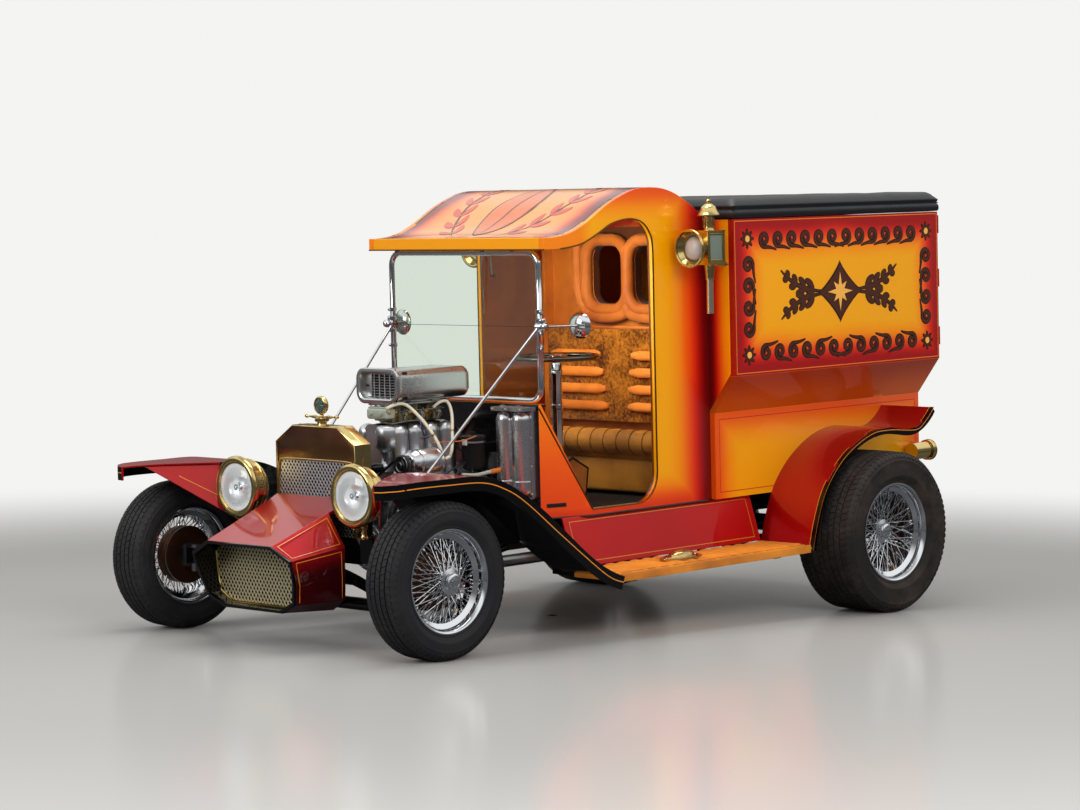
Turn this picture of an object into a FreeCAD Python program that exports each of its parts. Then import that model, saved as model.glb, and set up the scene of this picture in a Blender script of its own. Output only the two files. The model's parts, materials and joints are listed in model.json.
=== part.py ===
"""Open-engined C-cab delivery hot rod, millimetres, +X forward, +Y to its left, +Z up.

The origin lies on the floor under the middle of the whole vehicle. The body, frame and
engine are drawn level and then tipped nose down by the rake angle. Wheels, axle and
knuckles stand square on the floor.
"""
import FreeCAD, Part
import Sketcher
import math
import os
import re
from FreeCAD import Placement, Rotation, Vector

doc = FreeCAD.newDocument("hot_rod")
sheet = doc.addObject("Spreadsheet::Sheet", "sizes")

SIZES = {
    # Stance
    "rake": 2.2,
    "wheelbase": 2552,
    "front_axle_place": 1447,
    "body_place": 32,
    "front_track_half": 765,
    "rear_track_half": 813.5,
    # Tyres and wire wheels
    "front_tyre_radius": 301.5,
    "front_tyre_width": 176,
    "front_rim_radius": 199,
    "front_rim_width": 152,
    "rear_tyre_radius": 347.5,
    "rear_tyre_width": 304,
    "rear_rim_radius": 212,
    "rear_rim_width": 262,
    "rim_flange": 13,
    "rim_wall": 4,
    "hub_radius": 38,
    "hub_cap_radius": 32,
    "hub_bore": 15,
    "spoke_radius": 2.6,
    # Front axle, steering
    "kingpin_half": 668,
    "kingpin_radius": 11,
    "axle_tube_radius": 25,
    "axle_level": 180,
    "spindle_radius": 14.95,
    "drum_radius": 118,
    "steer_arm": 120,
    "tie_rod_radius": 9,
    # Rear axle
    "rear_tube_radius": 38,
    "centre_case_radius": 130,
    # Frame
    "rail_half": 345,
    "rail_width": 50,
    "rail_height": 100,
    "rail_top": 486,
    "rail_front": 1405,
    "rail_rear": -1770,
    "member_height": 50,
    "tow_hole_radius": 10,
    "front_pad_place": 1100,
    "rear_pad_place": -480,
    "pad_long": 80,
    "pad_high": 10,
    # Cab
    "cab_half": 520,
    "cab_wall": 30,
    "sill": 486,
    "step_over": 24,
    "box_front": -440,
    "cowl_bend": 290,
    "cowl_front": 512,
    "cowl_half": 445,
    "cowl_top": 948,
    "visor_front": 535,
    "visor_low": 1573,
    "roof_skin": 30,
    "door_rear": -102,
    "floor_sheet": 20,
    # Interior
    "bulkhead_place": -525,
    "bulkhead_pad": 40,
    "window_gap": 52,
    "window_width": 200,
    "window_low": 1303,
    "window_high": 1561,
    "window_corner": 60,
    "seat_front": -172,
    "seat_height": 792,
    "seat_roll": 55,
    "seat_gap": 50,
    "pad_top": 1203,
    # Windshield
    "glass_place": 484,
    "frame_half": 435,
    "frame_tube": 12.5,
    "frame_bend": 55,
    "glass_sheet": 6,
    "glass_gap": 0.3,
    "stay_radius": 6,
    "stay_place": 1275,
    "stay_side": 330,
    "stay_foot": 12,
    "mirror_out": 90,
    "mirror_back": 120,
    "mirror_radius": 55,
    # Steering
    "column_side": 220,
    "column_radius": 22,
    "wheel_level": 1117,
    "wheel_place": 176,
    "wheel_radius": 185,
    # Load box
    "box_half": 668,
    "box_rear": -1830,
    "box_top": 1668,
    "box_wall": 28,
    "ledge_top": 1011,
    "ledge_low": 850,
    "lower_half": 545,
    "roof_pad": 98,
    "roof_over": 14,
    "door_gap": 8,
    "hinge_radius": 10,
    # Fenders and running boards
    "fender_sheet": 6,
    "fender_flange": 55,
    "fender_nose": 1697,
    "fender_bend": 1385,
    "front_fender_inner": 516,
    "front_fender_outer": 846,
    "rear_flange": 28,
    "rear_fender_outer": 832,
    "board_front": 451,
    "board_rear": -716,
    "board_top": 289,
    "board_thick": 40,
    "board_inner": 556,
    "board_outer": 832,
    "apron_sheet": 8,
    # Radiator, nose and lamps
    "radiator_front": 1322,
    "radiator_deep": 84,
    "radiator_half": 238,
    "radiator_cap_half": 135,
    "radiator_top": 905,
    "radiator_shoulder": 837,
    "radiator_low": 470,
    "shell_wall": 14,
    "mesh_top": 768,
    "nose_wall": 12,
    "grille_place": 1600,
    "lamp_side": 347,
    "lamp_place": 1447,
    "lamp_height": 655,
    "lamp_radius": 125,
    "lamp_deep": 112,
    # Engine
    "engine_front": 1000,
    "engine_rear": 600,
    "gearbox_width": 190,
    "crank_height": 400,
    "scoop_front": 985,
    "scoop_long": 410,
    "scoop_width": 252,
    "scoop_height": 145,
    "scoop_level": 1041,
    "scoop_wall": 5,
    "scoop_lip": 10,
    "bank_half": 75,
    "bank_top": 215,
    "head_half": 70,
    "head_top": 285,
    "cover_half": 50,
    "cover_top": 330,
    "plenum_half": 80,
    "plenum_low": 680,
    "plenum_top": 885,
    "port_radius": 38,
    "port_pitch": 85,
    "pipe_radius": 24,
    "muffler_radius": 52,
    "exhaust_side": 405,
    "exhaust_level": 330,
    "pump_height": 570,
    "crank_pulley": 84,
    "pump_pulley": 58,
    "generator_pulley": 38,
    "generator_side": 225,
    "generator_height": 738,
    "hose_radius": 19,
    "filter_radius": 48,
    # Lanterns
    "lantern_place": -320,
    "lantern_inset": 28,
    "lantern_low": 1492,
    "lantern_high": 1620,
    "bell_height": 1553,
    "bell_radius": 78,
    "clearance": 1,
}

for row, (name, value) in enumerate(SIZES.items(), start=1):
    sheet.set(f"A{row}", name)
    sheet.set(f"B{row}", str(value))
    sheet.setAlias(f"B{row}", name)
doc.recompute()


class Reader:
    """Read one size of the sheet as a number."""

    def __getattr__(self, name):
        return float(sheet.get(name))


mm = Reader()
nodes = []


def cells(text):
    """Turn the size names of an expression into cells of the sheet."""
    return re.sub(r"[a-z][a-z_]+", lambda word: "sizes." + word.group(), str(text))


def bind(item, prop, text):
    item.setExpression(prop, cells(text))


def number(text):
    """Give the value of an expression written with size names."""
    return float(sheet.evalExpression(re.sub(r"[a-z][a-z_]+", lambda w: "." + w.group(), str(text))))


def raked(item, label):
    """Tip a finished piece of the body by the rake and list it as a node."""
    if item.TypeId in ("Part::Box", "Part::Cylinder"):
        item.Label = label + "_solid"
        item = group(label + "_group", item)
    item.Label = label
    item.Placement = Placement(Vector(mm.body_place, 0, 0), Rotation(Vector(0, 1, 0), mm.rake))
    bind(item, "Placement.Base.x", "body_place")
    bind(item, "Placement.Rotation.Angle", "rake")
    nodes.append(item)
    return item


def standing(item, label, x, y, z):
    """Place a finished piece square to the floor and list it as a node."""
    item.Label = label
    for axis, text in zip("xyz", (x, y, z)):
        bind(item, "Placement.Base." + axis, text)
    nodes.append(item)
    return item


def shaped(shape, name):
    item = doc.addObject("Part::Feature", name)
    item.Shape = shape
    return item


def block(name, x, y, z):
    """A box between pairs of expressions."""
    item = doc.addObject("Part::Box", name)
    for axis, side, (low, high) in zip("xyz", ("Length", "Width", "Height"), (x, y, z)):
        bind(item, "Placement.Base." + axis, low)
        bind(item, side, f"({high}) - ({low})")
    return item


def drum(name, turn, x, y, z, radius, height):
    """A cylinder from a point along the axis that turn brings Z to."""
    item = doc.addObject("Part::Cylinder", name)
    item.Placement = Placement(Vector(), turn)
    for axis, text in zip("xyz", (x, y, z)):
        bind(item, "Placement.Base." + axis, text)
    bind(item, "Radius", radius)
    bind(item, "Height", height)
    return item


ALONG_X = Rotation(Vector(0, 1, 0), 90)
ALONG_Y = Rotation(Vector(1, 0, 0), -90)
UPRIGHT = Rotation()


def fused(name, *items):
    item = doc.addObject("Part::MultiFuse", name)
    item.Shapes = list(items)
    return item


def group(name, *items):
    item = doc.addObject("Part::Compound", name)
    item.Links = list(items)
    return item


def cut(name, base, tool):
    item = doc.addObject("Part::Cut", name)
    item.Base = base
    item.Tool = tool
    return item


def mirrored(name, source):
    """The same piece on the right side."""
    item = doc.addObject("Part::Mirroring", name)
    item.Source = source
    item.Base = Vector()
    item.Normal = Vector(0, 1, 0)
    return item


def pair(name, left):
    """A left piece and its mirror image, which do not touch."""
    return group(name, left, mirrored(name + "_mirror", left))


def outline(body, plane, name, points, offset="0"):
    """A closed sketch of straight lines whose corners are bound to the sheet."""
    sketch = body.newObject("Sketcher::SketchObject", name)
    origin = next(item for item in body.Origin.OriginFeatures if item.Role == plane)
    sketch.AttachmentSupport = [(origin, "")]
    sketch.MapMode = "FlatFace"
    sign = "-1" if plane == "XZ_Plane" else "1"
    bind(sketch, "AttachmentOffset.Base.z", f"{sign} * ({offset})")
    spots = [Vector(number(across), number(up), 0) for across, up in points]
    count = len(spots)
    for index, spot in enumerate(spots):
        sketch.addGeometry(Part.LineSegment(spot, spots[(index + 1) % count]), False)
    for index in range(count):
        sketch.addConstraint(Sketcher.Constraint("Coincident", index, 2, (index + 1) % count, 1))
    for index, (across, up) in enumerate(points):
        for kind, text, value in (("X", across, spots[index].x), ("Y", up, spots[index].y)):
            if abs(value) < 1e-9:
                axis = -2 if kind == "X" else -1
                sketch.addConstraint(Sketcher.Constraint("PointOnObject", index, 1, axis))
                continue
            mark = sketch.addConstraint(Sketcher.Constraint("Distance" + kind, -1, 1, index, 1, value))
            sketch.renameConstraint(mark, f"{kind}{index}")
            sketch.setExpression(f"Constraints.{kind}{index}", cells(text))
    return sketch


def extruded(name, plane, points, low, high):
    """A body padded from an outline between two distances along its plane's normal."""
    body = doc.addObject("PartDesign::Body", name)
    far = plane == "XZ_Plane"
    sketch = outline(body, plane, name + "_outline", points, low)
    pad = body.newObject("PartDesign::Pad", name + "_pad")
    pad.Profile = sketch
    bind(pad, "Length", f"({high}) - ({low})")
    pad.Reversed = far
    body.Tip = pad
    return body


def rounded(name, base, radius, chosen):
    """Round the edges of a block that run along X and pass a test."""
    item = doc.addObject("Part::Fillet", name)
    item.Base = base
    marks = [index + 1 for index, edge in enumerate(base.Shape.Edges)
             if abs(edge.tangentAt(edge.FirstParameter).x) > 0.9 and chosen(edge)]
    item.Edges = [(mark, radius, radius) for mark in marks]
    return item


def turned(name, plane, axis, points):
    """A body revolved about an axis of its outline's plane."""
    body = doc.addObject("PartDesign::Body", name)
    sketch = outline(body, plane, name + "_outline", points)
    spin = body.newObject("PartDesign::Revolution", name + "_spin")
    spin.Profile = sketch
    spin.ReferenceAxis = (sketch, [axis])
    spin.Angle = 360
    body.Tip = spin
    return body


def rounded_wire(points, bend):
    """A path of straight runs joined by tangent arcs."""
    edges = []
    last = points[0]
    for before, corner, after in zip(points, points[1:], points[2:]):
        back = (before - corner).normalize()
        ahead = (after - corner).normalize()
        half = back.getAngle(ahead) / 2
        reach = bend / math.tan(half)
        start = corner + back * reach
        end = corner + ahead * reach
        middle = corner + (back + ahead).normalize() * (bend / math.sin(half) - bend)
        if (start - last).Length > 1e-6:
            edges.append(Part.LineSegment(last, start).toShape())
        edges.append(Part.Arc(start, middle, end).toShape())
        last = end
    edges.append(Part.LineSegment(last, points[-1]).toShape())
    return Part.Wire(edges)


def tube(points, radius, bend=0):
    """A round bar along a path of points."""
    spots = [Vector(*point) for point in points]
    path = rounded_wire(spots, bend) if bend else Part.makePolygon(spots)
    ring = Part.Wire(Part.makeCircle(radius, spots[0], spots[1] - spots[0]))
    return path.makePipeShell([ring], True, False, 1 if not bend else 0)


def rod(start, end, radius):
    """A straight round bar between two points."""
    first = Vector(*start)
    run = Vector(*end) - first
    return Part.makeCylinder(radius, run.Length, first, run)


def wire(start, end, radius):
    """A thin straight wire of six flats."""
    first = Vector(*start)
    run = Vector(*end) - first
    across = run.cross(Vector(0, 1, 0)).normalize() * radius
    turn = Rotation(run, 60)
    ring = [across]
    for corner in range(5):
        ring.append(turn.multVec(ring[-1]))
    return Part.Face(Part.makePolygon([first + spot for spot in ring + ring[:1]])).extrude(run)


def lathe(points, place, axis):
    """A solid turned about an axis, from points of a distance along it and a radius."""
    ring = [Vector(radius, 0, along) for along, radius in points]
    solid = Part.Face(Part.makePolygon(ring + ring[:1])).revolve(Vector(), Vector(0, 0, 1), 360)
    solid.Placement = Placement(Vector(*place), Rotation(Vector(0, 0, 1), Vector(*axis)))
    return solid


def capsule(start, end, radius):
    """A post with round ends."""
    first = Vector(*start)
    run = Vector(*end) - first
    long = run.Length
    slant = radius * math.sqrt(0.5)
    low = Part.Arc(Vector(0, 0, -radius), Vector(slant, 0, -slant), Vector(radius, 0, 0)).toShape()
    high = Part.Arc(Vector(radius, 0, long), Vector(slant, 0, long + slant), Vector(0, 0, long + radius)).toShape()
    sides = [Part.makeLine(Vector(radius, 0, 0), Vector(radius, 0, long)),
             Part.makeLine(Vector(0, 0, long + radius), Vector(0, 0, -radius))]
    solid = Part.Face(Part.Wire([low, sides[0], high, sides[1]])).revolve(Vector(), Vector(0, 0, 1), 360)
    solid.Placement = Placement(first, Rotation(Vector(0, 0, 1), run))
    return solid


def soft_block(low, high, radius, axis=0):
    """A block whose edges along one axis are rounded."""
    first = Vector(*low)
    size = Vector(*high) - first
    box = Part.makeBox(size.x, size.y, size.z, first)
    return box.makeFillet(radius, [edge for edge in box.Edges if abs(edge.tangentAt(0)[axis]) > 0.9])


def joined(*solids):
    return solids[0].fuse(list(solids[1:])).removeSplitter()


def curve(points):
    line = Part.BSplineCurve()
    line.interpolate([Vector(*point) for point in points])
    return line.toShape()


def prism(edges, direction):
    return Part.Face(Part.Wire(Part.__sortEdges__(edges))).extrude(direction)



# Wheels and tyres

def make_tyre(label, front):
    """A tyre about its own axle, square shouldered, with rounded sidewalls."""
    which = "front" if front else "rear"
    radius = f"{which}_tyre_radius"
    half = f"{which}_tyre_width / 2"
    seat = f"{which}_rim_radius - rim_flange"
    rim = f"{which}_rim_width / 2"
    points = [
        (f"{seat}", f"-({rim}) + rim_wall + clearance"),
        (f"{seat} + 6", f"-({rim}) + rim_wall + clearance"),
        (f"{which}_rim_radius + 4", f"-({rim}) + rim_wall + clearance"),
        (f"({radius} + {which}_rim_radius) / 2", f"-({half})"),
        (f"{radius} - 22", f"-({half}) + 6"),
        (f"{radius} - 5", f"-({half}) + 24"),
        (f"{radius}", f"-({half}) + 50"),
        (f"{radius}", f"{half} - 50"),
        (f"{radius} - 5", f"{half} - 24"),
        (f"{radius} - 22", f"{half} - 6"),
        (f"({radius} + {which}_rim_radius) / 2", f"{half}"),
        (f"{which}_rim_radius + 4", f"{rim} - rim_wall - clearance"),
        (f"{seat}", f"{rim} - rim_wall - clearance"),
    ]
    return turned(label, "XY_Plane", "V_Axis", points)


def axle_place(front):
    return "front_axle_place" if front else "front_axle_place - wheelbase"


def make_rim(name, front):
    """A drop-centre rim as one band of metal with two flanges."""
    which = "front" if front else "rear"
    edge = f"{which}_rim_radius"
    seat = f"{which}_rim_radius - rim_flange - clearance"
    well = f"{which}_rim_radius - rim_flange - 22"
    half = f"{which}_rim_width / 2"
    points = [
        (edge, f"-({half})"),
        (edge, f"-({half}) + rim_wall"),
        (seat, f"-({half}) + rim_wall"),
        (seat, f"-({half}) + 30"),
        (well, f"-({half}) + 44"),
        (well, f"{half} - 44"),
        (seat, f"{half} - 30"),
        (seat, f"{half} - rim_wall"),
        (edge, f"{half} - rim_wall"),
        (edge, half),
        (f"{seat} - rim_wall", half),
        (f"{seat} - rim_wall", f"{half} - 32"),
        (f"{well} - rim_wall", f"{half} - 46"),
        (f"{well} - rim_wall", f"-({half}) + 46"),
        (f"{seat} - rim_wall", f"-({half}) + 32"),
        (f"{seat} - rim_wall", f"-({half})"),
    ]
    return turned(name, "XY_Plane", "V_Axis", points)


def make_hub(name, outer, inner):
    """A hub barrel with its cap on the outer end, bored for the spindle."""
    points = [
        ("hub_bore", inner),
        ("hub_radius + 12", inner),
        ("hub_radius + 12", f"{inner} + 8"),
        ("hub_radius", f"{inner} + 12"),
        ("hub_radius", f"{outer} - 40"),
        ("hub_radius + 8", f"{outer} - 36"),
        ("hub_radius + 8", f"{outer} - 28"),
        ("hub_cap_radius", f"{outer} - 26"),
        ("hub_cap_radius", f"{outer} - 4"),
        ("hub_cap_radius - 4", outer),
        ("0", outer),
        ("0", f"{outer} - 30"),
        ("hub_bore", f"{outer} - 30"),
    ]
    return turned(name, "XY_Plane", "V_Axis", points)


def make_spokes(hub_plane, rim_plane, rim_radius, count):
    """Crossed wire spokes in pairs from one hub flange to one ring of the rim."""
    wires = []
    lean = math.radians(38)
    for index in range(count):
        base = 2 * math.pi * index / count
        swing = lean if index % 2 else -lean
        start = (mm.hub_radius * math.cos(base + swing), hub_plane, mm.hub_radius * math.sin(base + swing))
        end = (rim_radius * math.cos(base), rim_plane, rim_radius * math.sin(base))
        wires.append(wire(start, end, mm.spoke_radius))
    return wires


def make_wheel(name, front):
    """Rim, hub and two rows of crossed spokes as one piece, its outer side towards +Y."""
    which = "front" if front else "rear"
    outer = "front_rim_width / 2 + 34" if front else "rear_rim_width / 2 - 42"
    inner = "-front_rim_width / 2 + 40" if front else "-rear_rim_width / 2 + 60"
    rim = make_rim(name + "_rim", front)
    hub = make_hub(name + "_hub", outer, inner)
    doc.recompute()
    half = number(f"{which}_rim_width / 2")
    well = number(f"{which}_rim_radius - rim_flange - 22 - rim_wall / 2")
    face = number(outer) - 32
    back = number(inner) + 4
    spokes = make_spokes(face, half - 50, well, 20)
    spokes += make_spokes(back, 0 if front else half - 90, well, 20)
    whole = joined(rim.Shape, hub.Shape, *spokes)
    for part in (rim, hub):
        part.removeObjectsFromDocument()
        doc.removeObject(part.Name)
    return whole


def wheel_set():
    for which in ("front", "rear"):
        front = which == "front"
        lace = make_wheel("wheel_" + which, front)
        for side, hand in ((1, "left"), (-1, "right")):
            place = (axle_place(front), f"{side} * {which}_track_half", f"{which}_tyre_radius")
            standing(make_tyre(f"tyre_{which}_{hand}", front), f"tyre_{which}_{hand}", *place)
            wheel = shaped(lace.copy(), f"wheel_{which}_{hand}")
            wheel.Placement = Placement(Vector(), Rotation(Vector(0, 0, 1), 0 if side > 0 else 180))
            standing(wheel, f"wheel_{which}_{hand}", *place)


wheel_set()


# Points seen from the floor and from the tipped body

def body_point(x, z):
    """A point given on the floor frame, seen in the tipped frame of the body."""
    tip = math.radians(mm.rake)
    x -= mm.body_place
    return x * math.cos(tip) - z * math.sin(tip), x * math.sin(tip) + z * math.cos(tip)


def floor_level(x, z):
    """The height over the floor, at a place along it, of a level line of the tipped body."""
    tip = math.radians(mm.rake)
    return (z - (x - mm.body_place) * math.sin(tip)) / math.cos(tip)


# Front axle, knuckles and tie rod

def make_front_axle():
    """A dropped tube between two kingpin bosses, with its leaf spring and radius rods."""
    place = mm.front_axle_place
    level = mm.axle_level
    centre = mm.front_tyre_radius
    side = mm.kingpin_half
    drop = side - 150
    path = [(place, -side, centre), (place, -side + 50, centre), (place, -drop, level), (place, drop, level),
            (place, side - 50, centre), (place, side, centre)]
    bar = tube(path, mm.axle_tube_radius, 40)
    rail_low = mm.rail_top - mm.rail_height
    crown = floor_level(place, rail_low) - 22 * math.sin(math.radians(mm.rake)) - 0.3
    rod_end = floor_level(place - 800, rail_low) - 14
    parts = []
    for hand in (1, -1):
        parts.append(Part.makeCylinder(26, 60, Vector(place, hand * side, centre - 30)))
        parts.append(rod((place, hand * 400, level), (place - 800, hand * 330, rod_end), 13))
        parts.append(rod((place, hand * 400, level - 20), (place, hand * 400, level + 75), 14))
    leaf = Part.Arc(Vector(place, -430, level + 60), Vector(place, 0, crown), Vector(place, 430, level + 60))
    under = Part.Arc(Vector(place, -430, level + 40), Vector(place, 0, crown - 40), Vector(place, 430, level + 40))
    ends = [Part.makeLine(leaf.StartPoint, under.StartPoint), Part.makeLine(leaf.EndPoint, under.EndPoint)]
    spring = prism([leaf.toShape(), under.toShape()] + ends, Vector(44, 0, 0))
    spring.translate(Vector(-22, 0, 0))
    beam = joined(bar, spring, *parts)
    for hand in (1, -1):
        bore = Part.makeCylinder(mm.kingpin_radius + 0.05, 70, Vector(place, hand * side, centre - 35))
        beam = beam.cut(bore)
    standing(shaped(beam, "front_axle"), "front_axle", "0", "0", "0")


def make_knuckle(hand):
    """A forked knuckle with its kingpin, spindle, backing plate and steering arm."""
    side = mm.kingpin_half
    ears = []
    for low in (32, -46):
        ears.append(Part.makeCylinder(24, 14, Vector(0, side, low)))
        ears.append(Part.makeBox(40, 50, 14, Vector(-20, side, low)))
    pin = Part.makeCylinder(mm.kingpin_radius, 92, Vector(0, side, -46))
    web = Part.makeBox(40, 16, 92, Vector(-20, side + 34, -46))
    plate = rod((0, side + 44, 0), (0, side + 52, 0), mm.drum_radius)
    spindle = rod((0, side + 40, 0), (0, mm.front_track_half + 72, 0), mm.spindle_radius)
    arm = rod((-14, side - 4, -38), (-mm.steer_arm, side - 30, -38), 8)
    eye = Part.makeCylinder(14, 18, Vector(-mm.steer_arm, side - 30, -47))
    boss = Part.makeCylinder(21, 18, Vector(0, side, -64))
    body = joined(web, plate, spindle, pin, arm, eye, boss, *ears)
    if hand < 0:
        body = body.mirror(Vector(), Vector(0, 1, 0))
    return body


def steering_gear():
    for hand, name in ((1, "knuckle_left"), (-1, "knuckle_right")):
        standing(shaped(make_knuckle(hand), name), name, "front_axle_place", "0", "front_tyre_radius")
    reach = mm.kingpin_half - 30
    low = -62
    bar = rod((-mm.steer_arm, -reach, low), (-mm.steer_arm, reach, low), mm.tie_rod_radius)
    ends = [Part.makeCylinder(13, 23.7, Vector(-mm.steer_arm, hand * reach, low - 9)) for hand in (1, -1)]
    standing(shaped(joined(bar, *ends), "tie_rod"), "tie_rod", "front_axle_place", "0", "front_tyre_radius")


make_front_axle()
steering_gear()


# Rear axle, springs, drive and exhausts

def make_rear_axle():
    """Axle tubes with a round centre case and a backing plate at each end."""
    track = mm.rear_track_half
    tubes = rod((0, -track + 110, 0), (0, track - 110, 0), mm.rear_tube_radius)
    case = Part.makeSphere(mm.centre_case_radius)
    nose = rod((0, 0, 0), (200, 0, 0), 60)
    shaft = rod((0, -track - 52, 0), (0, track + 52, 0), mm.spindle_radius)
    plates = [rod((0, h * (track - 112), 0), (0, h * (track - 84), 0), mm.drum_radius) for h in (1, -1)]
    body = joined(tubes, case, nose, shaft, *plates)
    standing(shaped(body, "rear_axle"), "rear_axle", "front_axle_place - wheelbase", "0", "rear_tyre_radius")


REAR_X, REAR_Z = body_point(mm.front_axle_place - mm.wheelbase, mm.rear_tyre_radius)
RAIL_LOW = mm.rail_top - mm.rail_height


LEAN = math.sqrt(0.5)


def on_bank(shape, side):
    """Lean a piece drawn upright over the crankshaft to the left or right bank."""
    shape.rotate(Vector(), Vector(1, 0, 0), -45 * side)
    shape.translate(Vector(0, 0, mm.crank_height))
    return shape


def make_bank(side):
    """One row of cylinders from the crankcase to its head."""
    low = Vector(mm.engine_rear + 10, -mm.bank_half, 60)
    bank = Part.makeBox(mm.engine_front - mm.engine_rear - 20, 2 * mm.bank_half, mm.bank_top - 60, low)
    return on_bank(bank, side)


def make_head(side):
    """A head with a round-topped ribbed cover, plug bosses and an oil filler."""
    rear, front = mm.engine_rear, mm.engine_front
    half, wide = mm.head_half, mm.cover_half
    head = Part.makeBox(front - rear - 40, 2 * half, mm.head_top - mm.bank_top,
                        Vector(rear + 20, -half, mm.bank_top))
    cover = soft_block((rear + 40, -wide, mm.bank_top + 30), (front - 40, wide, mm.cover_top), 22)
    ribs = [Part.makeBox(front - rear - 120, 5, 12, Vector(rear + 60, 14 * index - 2.5, mm.cover_top - 7))
            for index in range(-2, 3)]
    bosses = [rod((rear + 34 + 85 * index, side * (half - 5), mm.head_top - 46),
                  (rear + 34 + 85 * index, side * (half + 14), mm.head_top - 42), 12) for index in range(4)]
    filler = lathe([(0, 0), (0, 18), (22, 18), (22, 26), (32, 26), (34, 22), (34, 0)],
                   (rear + 92, 0, mm.cover_top - 5), (0, 0, 1))
    return on_bank(joined(head, cover, filler, *ribs, *bosses), side)


def make_rear_springs():
    """A leaf pack under each axle tube, hung from the rail by a hanger and a shackle."""
    side = mm.rail_half - mm.rail_width / 2
    low = REAR_Z - mm.rear_tube_radius
    eye = RAIL_LOW - 42
    top = Part.Arc(Vector(REAR_X - 520, 0, eye), Vector(REAR_X, 0, low), Vector(REAR_X + 520, 0, eye))
    under = Part.Arc(Vector(REAR_X - 520, 0, eye - 8), Vector(REAR_X, 0, low - 34), Vector(REAR_X + 520, 0, eye - 8))
    ends = [Part.makeLine(top.StartPoint, under.StartPoint), Part.makeLine(top.EndPoint, under.EndPoint)]
    pack = prism([top.toShape(), under.toShape()] + ends, Vector(0, 46, 0))
    pack.translate(Vector(0, side - 23, 0))
    hangers = []
    for reach in (-520, 520):
        hangers.append(Part.makeBox(26, 46, RAIL_LOW - eye + 16, Vector(REAR_X + reach - 13, side - 23, eye - 16)))
    left = shaped(joined(pack, *hangers), "rear_spring")
    raked(pair("rear_springs", left), "rear_springs")


def make_driveline():
    """Bell, gearbox and drive shaft in one line behind the engine."""
    level = mm.crank_height
    bell = Part.makeCone(165, 105, 110, Vector(mm.engine_rear, 0, level), Vector(-1, 0, 0))
    lid = Part.makeBox(140, 400, 120, Vector(mm.engine_rear - 140, -200, mm.sill))
    case = Part.makeBox(420, mm.gearbox_width, 150, Vector(mm.engine_rear - 520, -mm.gearbox_width / 2, level - 80))
    tail = rod((mm.engine_rear - 500, 0, level), (mm.engine_rear - 720, 0, level), 48)
    case = joined(bell.cut(lid), case, tail)
    end = Vector(REAR_X + 204, 0, REAR_Z + 8)
    shaft = rod((mm.engine_rear - 715, 0, level), end, 34)
    raked(shaped(joined(case, shaft), "driveline"), "driveline")


def make_exhausts():
    """A log along each head on four stubs, a down pipe over the rail, a muffler and a tail pipe."""
    side, level, radius = mm.exhaust_side, mm.exhaust_level, mm.pipe_radius
    log_y = (mm.head_top + mm.head_half + 30) * LEAN
    log_z = mm.crank_height + (mm.head_top - mm.head_half - 30) * LEAN
    places = [mm.engine_rear + 75 + 85 * index for index in range(4)]
    log = capsule((places[0], log_y, log_z), (places[-1], log_y, log_z), radius)
    stubs = [rod((x, log_y - 60, log_z - 4), (x, log_y, log_z), 17) for x in places]
    drop = places[2]
    pipe = tube([(drop, log_y, log_z), (drop, side, log_z), (drop, side, level), (120, side, level)], radius, 30)
    muffler = rod((200, side, level), (-320, side, level), mm.muffler_radius)
    tail = rod((-320, side, level), (-640, side, level), radius)
    within = Part.makeBox(mm.engine_front - mm.engine_rear, mm.head_half, mm.head_top - mm.bank_top,
                          Vector(mm.engine_rear, 0, mm.bank_top))
    whole = joined(log, pipe, muffler, tail, *stubs).cut(on_bank(within, 1))
    raked(pair("exhausts", shaped(whole, "exhaust")), "exhausts")


make_rear_axle()
make_rear_springs()
make_driveline()
make_exhausts()


# Frame

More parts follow.
